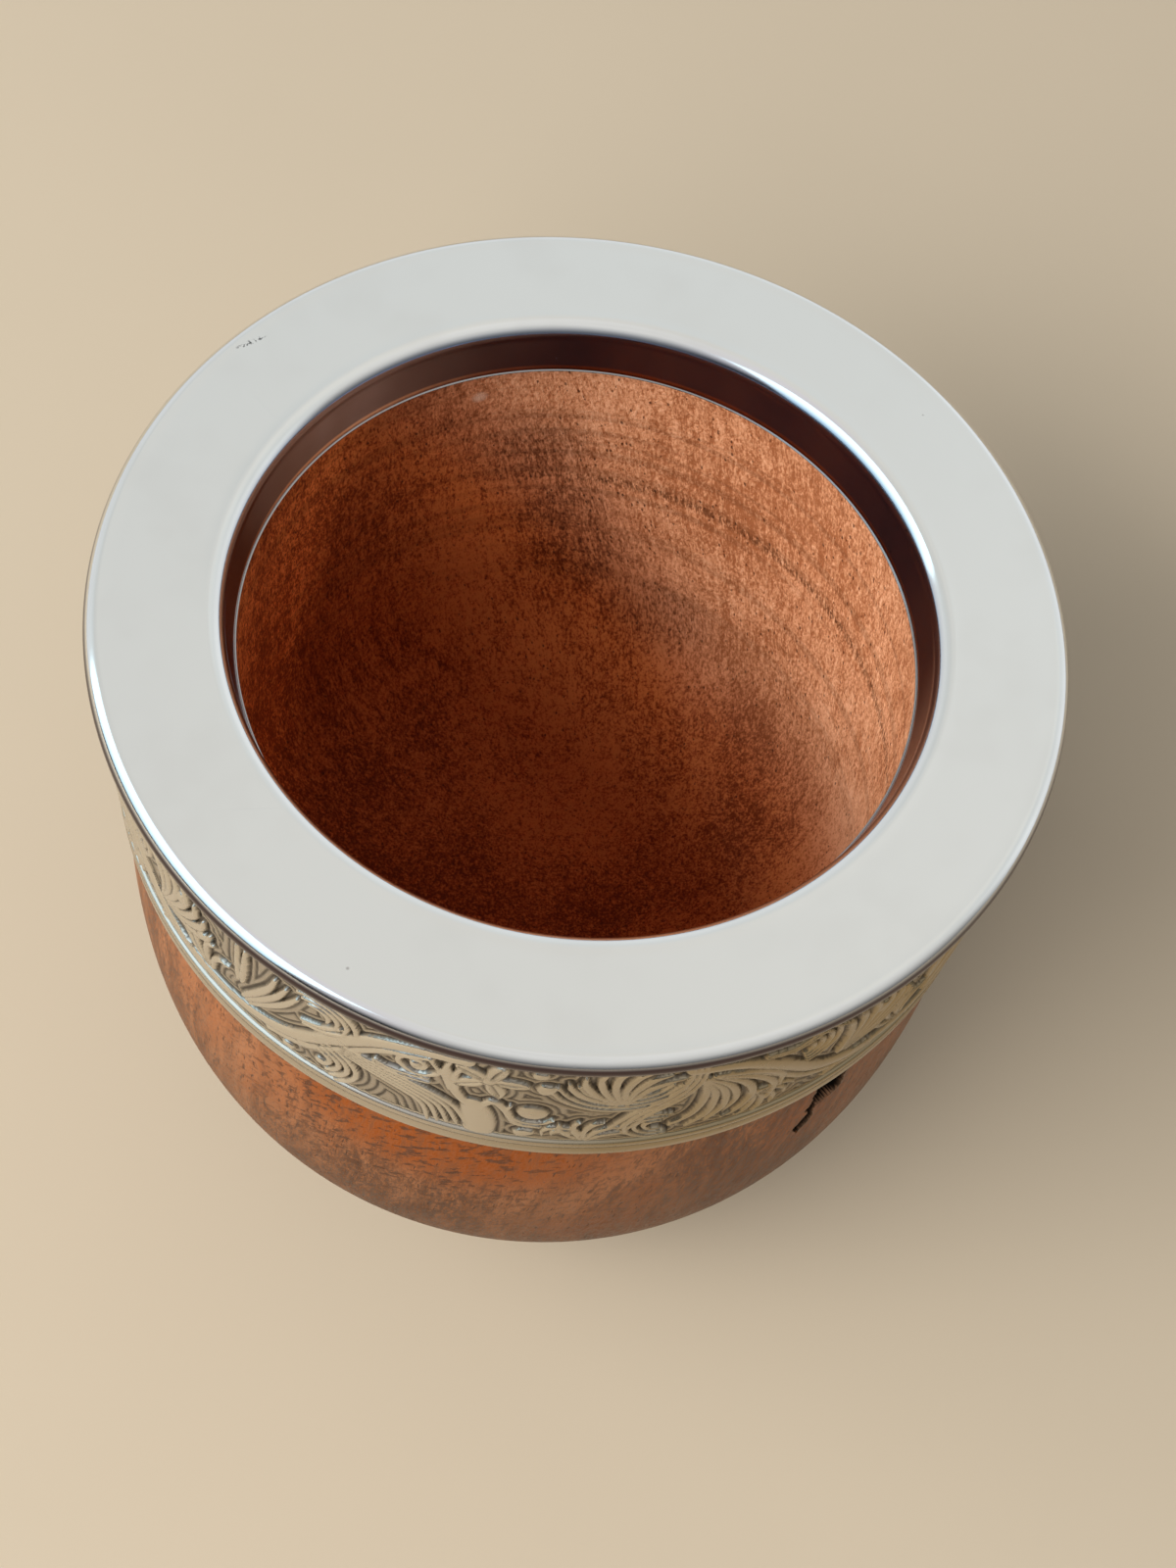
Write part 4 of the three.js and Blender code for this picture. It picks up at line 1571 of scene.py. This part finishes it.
@dataclass
class Ornament:
    """Running floral scroll: stems, leaves, curls, shells and flowers, repeated round the band."""

    radius: float
    repeats: int = 4
    first_degrees: float = -33.0
    line_width: float = 0.42
    line_depth: float = 0.14
    calm: float = 0.78
    echo_spacing: float = 0.85
    echo_depth: float = 0.13
    echo_reach: float = 3.4
    seed: int = 7

    @property
    def unit(self) -> float:
        """Length of one repeat in millimetres."""
        return 2 * math.pi * self.radius / self.repeats

    def motifs(self) -> list[object]:
        """Motifs of one repeat, drawn flat from its left end."""
        return [*self.left_motifs(), *self.tree(), *self.right_motifs()]

    def left_motifs(self) -> list[object]:
        """Rising stem with the curled frond over it and the shell and acanthus leaf under it."""
        return [
            Stem(-1.0, 23.6, self.unit, 1.9),
            Plume(((1.6, 4.6), (3.6, 7.6), (5.4, 10.8), (6.6, 14.0)), 3, 0.5, 1.25, 0.95),
            Plume(((1.0, 8.0), (1.2, 11.0), (1.6, 15.6)), 2, 0.5, 1.0, 0.9),
            Nest((9.6, 13.2), (1.3, 2.2, 3.1, 4.0), -25, 125, 0.75),
            Plume(((8.2, 9.6), (10.4, 10.4), (12.4, 12.2)), 2, 0.6, 0.9, 0.8),
            Nest((9.3, 3.6), (1.6, 2.5, 3.4, 4.3), -62, 78, 0.75),
            Bud((8.2, 4.2), 0.85, 30, 1.3),
            Bud((10.0, 2.4), 0.7, -20, 1.3),
            Bud((6.4, 1.4), 0.6, 0, 1.5),
            Plume(((12.2, 8.4), (15.0, 7.7), (18.6, 6.4), (21.2, 4.4), (22.4, 0.6)), 5, 0.42, 0.95, 0.8),
            Curl((19.1, 12.2), 2.5, 60, -1.6, 0.75),
            Plume(((15.4, 9.6), (17.0, 8.9), (20.4, 9.4)), 2, 0.4, 0.9, 0.75),
        ]

    def tree(self) -> list[object]:
        """Tree with a spreading foot, two branches, leaves, a flower and a round fruit."""
        return [
            Stroke(((25.3, -1.2), (25.2, 1.6), (24.9, 4.4), (24.5, 6.6)), 3.4, 0.5, 0.45),
            Stroke(((24.7, 5.4), (23.2, 7.6), (22.2, 10.6), (21.9, 13.6)), 1.2, 0.5, 0.4),
            Stroke(((24.8, 5.6), (26.2, 8.0), (27.4, 6.4), (28.4, 3.8), (30.6, 3.4)), 1.0, 0.5, 0.4),
            Plume(((22.6, 9.0), (22.2, 12.4), (23.0, 16.0)), 2, 0.7, 1.3, 0.75),
            Flower((25.6, 12.8), 3.4, 5, 1.9, 72.0),
            Bud((30.6, 12.6), 0.95, 70, 1.4, 0.6),
            Bud((29.9, 15.6), 0.7, 20, 1.4),
            Bud((29.8, 6.5), 1.5, 90, 1.1, 0.6),
            Nest((29.8, 6.5), (2.3,), 150, 330, 0.7),
            Bud((29.4, 1.6), 0.75, 25, 1.7, 0.6),
        ]

    def right_motifs(self) -> list[object]:
        """Fern fan, scroll, hanging lobes and curled frond beside the falling stem."""
        lobe = ((43.3, 17.0), (43.4, 13.6), (42.2, 10.2), (39.4, 6.8), (37.6, 3.2))
        return [
            Nest((32.6, 1.9), (0.8, 1.7), -20, 200, 0.7),
            Fan((34.6, 0.4), 5.0, (20, 120), 5, 0.15, 0.8),
            Fan((37.3, 9.0), 8.4, (48, 132), 7, 0.12, 0.95),
            Nest((37.4, 15.2), (4.4, 5.3, 6.2, 7.1), 198, 338, 0.72),
            Plume(lobe, 3, 0.55, 0.85, 0.75, 0.55),
            Nest((41.0, 3.4), (1.0, 1.9, 2.8), 60, 300, 0.7),
            Fan((44.2, 14.4), 13.0, (-97, -72), 4, 0.14, 1.0, hook=0.3),
            Fan((44.6, 14.6), 13.6, (-66, -46), 3, 0.14, 1.15, hook=0.3, rise=0.55),
            Fan((50.0, 6.4), 5.8, (-120, -30), 6, 0.18, 0.8),
            Stem(42.9, 69.4, self.unit, 1.9),
            Nest((53.4, 12.9), (1.2, 2.1, 3.0, 3.9), -70, 80, 0.75),
            Plume(((49.8, 14.6), (52.6, 14.2), (55.2, 16.0)), 2, 0.5, 0.9, 0.75),
            Fan((58.6, 5.8), 10.4, (34, 98), 7, -0.14, 1.05, rise=0.55),
            Bud((62.2, 12.6), 0.8, 70, 1.6, 0.6),
            Bud((65.4, 9.6), 0.75, 50, 1.5, 0.6),
            Bud((62.0, 8.6), 0.65, 50, 1.4, 0.6),
            Plume(((58.0, 1.6), (60.4, 3.2), (63.2, 3.0)), 2, 0.5, 1.0, 0.7),
            Fan((66.4, 3.6), 6.2, (60, 128), 4, 0.18, 0.85),
        ]

    def strokes(self) -> list[Stroke]:
        """Draw the ornament round the band, each repeat a little different by a seeded draw.

        Returns:
            Every stroke.
        """
        made = []
        for repeat in range(self.repeats):
            draw = random.Random(self.seed + repeat)
            start = math.radians(self.first_degrees) * self.radius + repeat * self.unit
            for motif in self.motifs():
                dx, dy = (0.0, 0.0) if repeat == 0 else (draw.uniform(-0.5, 0.5), draw.uniform(-0.3, 0.3))
                fixed = isinstance(motif, Stem)
                for stroke in [motif] if isinstance(motif, Stroke) else motif.strokes():
                    shift = (start, 0.0) if fixed else (start + dx, dy)
                    points = tuple((x + shift[0], y + shift[1]) for x, y in stroke.points)
                    made.append(Stroke(points, stroke.width, stroke.rise, stroke.taper))
        return made

    def relief(self, x: np.ndarray, y: np.ndarray) -> np.ndarray:
        """Height of the ornament over the band's ground, with a chased line along each form.

        Args:
            x: Places round the band in millimetres, rising and evenly spaced.
            y: Places up the band in millimetres, rising and evenly spaced.

        Returns:
            Heights in millimetres, rows by columns, below 0 in the chased lines.
        """
        raised = np.zeros((len(y), len(x)))
        sunk = np.zeros_like(raised)
        chased = np.zeros_like(raised)
        open_ground = np.full_like(raised, self.echo_reach)
        step_x, step_y = x[1] - x[0], y[1] - y[0]
        for stroke in self.strokes():
            path = stroke.samples()
            reach = stroke.width / 2 + self.echo_reach
            low, high = path[:, :2].min(axis=0) - reach, path[:, :2].max(axis=0) + reach
            first_column = math.floor((low[0] - x[0]) / step_x)
            columns = np.arange(first_column, math.ceil((high[0] - x[0]) / step_x) + 1)
            first_row = max(0, math.floor((low[1] - y[0]) / step_y))
            rows = np.arange(first_row, min(len(y) - 1, math.ceil((high[1] - y[0]) / step_y)) + 1)
            if len(rows) == 0:
                continue
            place = x[0] + columns * step_x
            share, outside = self.nearness(path, place[None, :], y[rows][:, None])
            block = np.ix_(rows, columns % len(x))
            dome = self.calm * abs(stroke.rise) * np.clip(share, 0, 1) ** 0.55
            target = raised if stroke.rise > 0 else sunk
            target[block] = np.maximum(target[block], dome)
            if stroke.rise > 0:
                line = np.clip(1 - (outside / self.line_width) ** 2, 0, 1) * (outside > -0.05)
                chased[block] = np.maximum(chased[block], line)
                open_ground[block] = np.minimum(open_ground[block], outside)
        lines = self.line_depth * chased * (1 - smooth_step(0.0, 0.12, raised))
        return raised - np.minimum(sunk, 0.7 * raised) - np.maximum(lines, self.echoes(open_ground))

    def echoes(self, gone: np.ndarray) -> np.ndarray:
        """Fine chased lines that follow the forms over the open ground.

        Args:
            gone: Distance to the nearest form in millimetres.

        Returns:
            Depth of the lines in millimetres.
        """
        wave = 0.5 - 0.5 * np.cos(2 * math.pi * (gone - self.line_width) / self.echo_spacing)
        near = smooth_step(0.45, 0.6, gone)
        far = 1 - smooth_step(self.echo_reach - 0.5, self.echo_reach, gone)
        return self.echo_depth * wave**2 * near * far

    @staticmethod
    def nearness(path: np.ndarray, x: np.ndarray, y: np.ndarray) -> tuple[np.ndarray, np.ndarray]:
        """Where places lie by a stroke.

        Args:
            path: Sampled stroke, rows of x, y and half width.
            x: Places round the band.
            y: Places up the band.

        Returns:
            1 on its middle line falling to 0 at its edge, and the distance outside its edge.
        """
        shape = np.broadcast(x, y).shape
        share, outside = np.full(shape, -1.0), np.full(shape, FAR)
        for (ax, ay, ah), (bx, by, bh) in zip(path[:-1], path[1:]):
            dx, dy = bx - ax, by - ay
            along = np.clip(((x - ax) * dx + (y - ay) * dy) / max(dx * dx + dy * dy, 1e-9), 0, 1)
            gone = (x - ax - along * dx) ** 2 + (y - ay - along * dy) ** 2
            half = np.maximum(ah + (bh - ah) * along, 0.05)
            share = np.maximum(share, 1 - gone / half**2)
            outside = np.minimum(outside, np.sqrt(gone) - half)
        return share, outside


@dataclass
class ChasedBand:
    """Chased band: thin sheet with a plain lower border, a groove and the raised ornament."""

    sizes: CupSizes
    ornament: Ornament = field(default_factory=lambda: Ornament(radius=44.0))
    columns: int = 1920
    rows: int = 120
    ground_sheet: float = 0.65
    border_height: float = 2.9
    border_rise: float = 0.35
    groove_width: float = 0.5
    full_relief: float = 0.55
    edge_mark: float = 0.7
    edge_room: float = 0.25
    field_room: float = 0.6
    room_reach: float = 1.2

    def ground(self, z: np.ndarray) -> np.ndarray:
        """Radius of the face that the ornament stands on."""
        return self.sizes.band_inner(z) + self.ground_sheet

    def border(self) -> np.ndarray:
        """Profile of the lower border and the groove above it.

        Returns:
            An array of (radius, height) rows, rising.
        """
        low, top = self.sizes.band_low, self.sizes.band_low + self.border_height
        middle = low + 0.62 * self.border_height
        out_low, out_middle, out_top = (self.ground(z) + self.border_rise for z in (low, middle, top))
        return np.concatenate(
            [
                [[self.sizes.band_inner(low), low + 0.1], [self.sizes.band_inner(low) + 0.15, low]],
                arc((out_low - 0.3, low + 0.3), 0.3, -90, 0, 4),
                [[out_middle, middle - 0.2], [out_middle - 0.09, middle], [out_middle, middle + 0.2]],
                arc((out_top - 0.4, top - 0.4), 0.4, 0, 70, 4),
                [[self.ground(top) - 0.12, top + 0.1]],
            ]
        )

    def build(self) -> bpy.types.Object:
        """Make the band.

        Returns:
            The finished object, riding on the cup.
        """
        size = self.sizes
        angles = np.linspace(-math.pi, math.pi, self.columns, endpoint=False)
        low = size.band_low + self.border_height + self.groove_width
        heights = np.linspace(low, size.band_high - 0.12, self.rows)
        relief = self.ornament.relief(angles * self.ornament.radius, heights - low)
        relief = np.minimum(relief, self.room(heights)[:, None])
        field_radius = self.ground(heights)[:, None] + relief
        field_points = around(field_radius, heights[:, None] + 0 * angles, angles[None, :])
        border = turned(self.border(), angles)
        high = size.band_high
        top = np.array([[self.ground(high) - 0.1, high], [size.band_inner(high), high]])
        points = np.concatenate([border, field_points, turned(top, angles)])
        added = (len(border), len(top))
        marks = {
            "relief": self.framed(relief / self.full_relief, *added, self.edge_mark),
            "recess": self.recess(relief, *added),
        }
        made = RingMesh("chased_ornament_band", points, loops=True, sharp_degrees=80.0, marks=marks).build()
        made.data.materials.append(ChasedMetal().material())
        return seat(made, Slot.CHASED, "chased_band")

    def room(self, heights: np.ndarray) -> np.ndarray:
        """Highest relief that stays under the rim's bead near the top."""
        below = self.sizes.band_high - heights
        return self.edge_room + self.field_room * smooth_step(0.0, self.room_reach, below)

    @staticmethod
    def framed(values: np.ndarray, below: int, above: int, edge: float) -> np.ndarray:
        """Values of the ornament's field with the border's and the top edge's rows added.

        Args:
            values: Values of the field.
            below: Rows under it.
            above: Rows over it.
            edge: Value of the added rows.

        Returns:
            Values of every row.
        """
        return np.pad(values, ((below, above), (0, 0)), constant_values=edge)

    def recess(self, relief: np.ndarray, below: int, above: int) -> np.ndarray:
        """Where tarnish and painted shade gather: low places beside raised ones.

        Args:
            relief: Relief of the field in millimetres.
            below: Rows under it.
            above: Rows over it.

        Returns:
            Values from 0 to 1 of every row.
        """
        near = relief.copy()
        for _ in range(3):
            near = sum(np.roll(near, k, 1) for k in (0, 1, -1, 2, -2)) / 5
            padded = np.pad(near, ((2, 2), (0, 0)), mode="edge")
            near = sum(padded[k : k + len(relief)] for k in range(5)) / 5
        hollow = np.maximum(smooth_step(0.02, 0.18, near - relief), smooth_step(0.02, 0.12, -relief))
        return self.framed(hollow, below, above, 0.0)


@dataclass(frozen=True)
class Softbox:
    """Rectangular soft light that faces the cup."""

    name: str
    azimuth: float
    elevation: float
    distance: float
    size: Pair
    watts: float
    colour: Triple = (1.0, 1.0, 1.0)
    mirrored: bool = True
    lights_up: bool = True

    def hang(self, target: Vector) -> None:
        """Place the light.

        Args:
            target: Point in metres that it faces.
        """
        data = bpy.data.lights.new(self.name, "AREA")
        data.shape = "RECTANGLE"
        data.size, data.size_y = self.size
        data.energy = self.watts
        data.color = self.colour
        lamp = bpy.data.objects.new(self.name, data)
        azimuth, elevation = math.radians(self.azimuth), math.radians(self.elevation)
        level = math.cos(elevation)
        away = Vector((math.sin(azimuth) * level, -math.cos(azimuth) * level, math.sin(elevation)))
        lamp.location = target + away * self.distance
        lamp.rotation_mode = "QUATERNION"
        lamp.rotation_quaternion = away.to_track_quat("Z", "Y")
        lamp.visible_glossy = self.mirrored
        lamp.visible_diffuse = self.lights_up
        bpy.context.scene.collection.objects.link(lamp)


@dataclass(frozen=True)
class PhotoCamera:
    """Camera of the photograph, found from the rim's and the band's outlines."""

    lens: float = 54.09
    sensor: float = 36.0
    distance: float = 213.98
    elevation: float = 60.312
    roll: float = 11.570
    frame_width: float = 1200.0
    frame_height: float = 1600.0
    mouth_column: float = 597.913
    mouth_row: float = 619.475

    def mount(self, aim: Vector) -> bpy.types.Object:
        """Place the camera.

        Args:
            aim: Middle of the rim's top in millimetres.

        Returns:
            The camera object.
        """
        elevation, roll = math.radians(self.elevation), math.radians(self.roll)
        back = Vector((0, -math.cos(elevation), math.sin(elevation)))
        level, rise = Vector((1, 0, 0)), Vector((0, math.sin(elevation), math.cos(elevation)))
        right = math.cos(roll) * level + math.sin(roll) * rise
        upward = -math.sin(roll) * level + math.cos(roll) * rise
        pixels = self.lens / self.sensor * self.frame_height
        shift_right = (self.mouth_column - self.frame_width / 2) / pixels * self.distance
        shift_up = -(self.mouth_row - self.frame_height / 2) / pixels * self.distance
        place = aim + back * self.distance - right * shift_right - upward * shift_up
        data = bpy.data.cameras.new("photo_camera")
        data.lens, data.sensor_width = self.lens, self.sensor
        data.clip_start, data.clip_end = 0.01, 20.0
        made = bpy.data.objects.new("photo_camera", data)
        turn = Matrix((right, upward, back)).transposed().to_4x4()
        made.matrix_world = Matrix.Translation(place * MM) @ turn
        bpy.context.scene.collection.objects.link(made)
        bpy.context.scene.camera = made
        return made


@dataclass
class Studio:
    """Plain pale floor, soft light and the photograph's camera."""

    floor_half: float = 1.6
    diffuse_strength: float = 0.42
    right_tones: tuple[Pair, ...] = (
        (0.0, 0.20), (0.18, 0.28), (0.36, 0.42), (0.60, 0.62), (0.82, 0.76), (1.0, 0.78)
    )
    left_tones: tuple[Pair, ...] = (
        (0.0, 0.03), (0.16, 0.05), (0.32, 0.34), (0.60, 0.68), (0.82, 0.76), (1.0, 0.78)
    )
    behind_tones: tuple[tuple[float, Triple], ...] = (
        (0.0, (0.80, 0.84, 0.88)),
        (0.35, (0.82, 0.85, 0.87)),
        (0.66, (0.71, 0.745, 0.75)),
        (0.95, (0.78, 0.775, 0.745)),
    )
    lights: tuple[Softbox, ...] = (
        Softbox("window_glow", -70.0, 31.0, 1.25, (1.5, 1.2), 6.6, (0.56, 0.82, 0.98), lights_up=False),
        Softbox("window_light", -66.0, 34.0, 1.25, (1.4, 0.7), 12.0, (0.97, 1.0, 1.0), mirrored=False),
        Softbox("front_light", -40.0, 41.0, 1.3, (1.3, 0.5), 18.0, (1.0, 0.99, 0.97), mirrored=False),
    )

    def floor(self) -> None:
        """Lay the floor that the cup stands on."""
        half = self.floor_half
        mesh = bpy.data.meshes.new("pale_floor")
        corners = [(-half, -half, 0), (half, -half, 0), (half, half, 0), (-half, half, 0)]
        mesh.from_pydata(corners, [], [(0, 1, 2, 3)])
        made = bpy.data.objects.new("pale_floor", mesh)
        made.data.materials.append(PaleFloor().material())
        bpy.context.scene.collection.objects.link(made)

    def sky(self) -> None:
        """Soft surround: a pale ceiling over a horizon that is dark in front and bright behind."""
        world = bpy.data.worlds.new("soft_surround")
        bpy.context.scene.world = world
        world.use_nodes = True
        world.node_tree.nodes.clear()
        shade = Shade(world.node_tree)
        way = shade.node("ShaderNodeTexCoord").outputs["Generated"]
        parts = shade.node("ShaderNodeSeparateXYZ", {0: way}).outputs
        right = shade.colours(parts[2], self.tinted(self.right_tones, (1.0, 1.0, 0.99)))
        left = shade.colours(parts[2], self.tinted(self.left_tones, (1.0, 0.97, 1.03)))
        front = shade.blend(shade.ramp(parts[0], -0.40, -0.05), left, right)
        behind = shade.colours(parts[2], self.behind_tones)
        plain = shade.blend(shade.ramp(parts[1], -0.10, 0.25), front, behind)
        side = shade.ramp(parts[0], -0.45, 0.35, 0.90, 1.02)
        cloud = shade.ramp(shade.noise(way, 2.2, 1.0), 0.35, 0.65, 0.96, 1.03)
        colour = shade.scaled(plain, shade.maths("MULTIPLY", side, cloud))
        spread = shade.node("ShaderNodeLightPath").outputs["Is Diffuse Ray"]
        strength = shade.ramp(spread, 0.0, 1.0, 1.0, self.diffuse_strength)
        back = shade.node("ShaderNodeBackground", {0: colour, 1: strength})
        shade.node("ShaderNodeOutputWorld", {0: back.outputs[0]})

    @staticmethod
    def tinted(tones: Iterable[Pair], tint: Triple) -> list[tuple[float, Triple]]:
        """Grey tones by height, each turned to a colour by one tint."""
        return [(place, tuple(tone * part for part in tint)) for place, tone in tones]

    def build(self, aim: Vector) -> None:
        """Set up everything that isn't the cup.

        Args:
            aim: Middle of the rim's top in millimetres.
        """
        self.floor()
        self.sky()
        for light in self.lights:
            light.hang(aim * MM)
        PhotoCamera().mount(aim)
        bpy.context.scene.view_settings.view_transform = "Standard"


def main() -> None:
    """Build the cup piece by piece, then the studio."""
    logging.basicConfig(level=logging.INFO, format="%(name)s: %(message)s")
    sizes = CupSizes.from_frame()
    builders: tuple[Callable[[], bpy.types.Object], ...] = (
        WoodBowl(sizes).build,
        MetalRim(sizes).build,
        ChasedBand(sizes).build,
    )
    for build in builders:
        piece = build()
        LOG.info("%s: %d faces", piece.name, len(piece.data.polygons))
    Studio().build(Vector((0, 0, sizes.height)))
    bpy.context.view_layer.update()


if __name__ == "__main__":
    main()
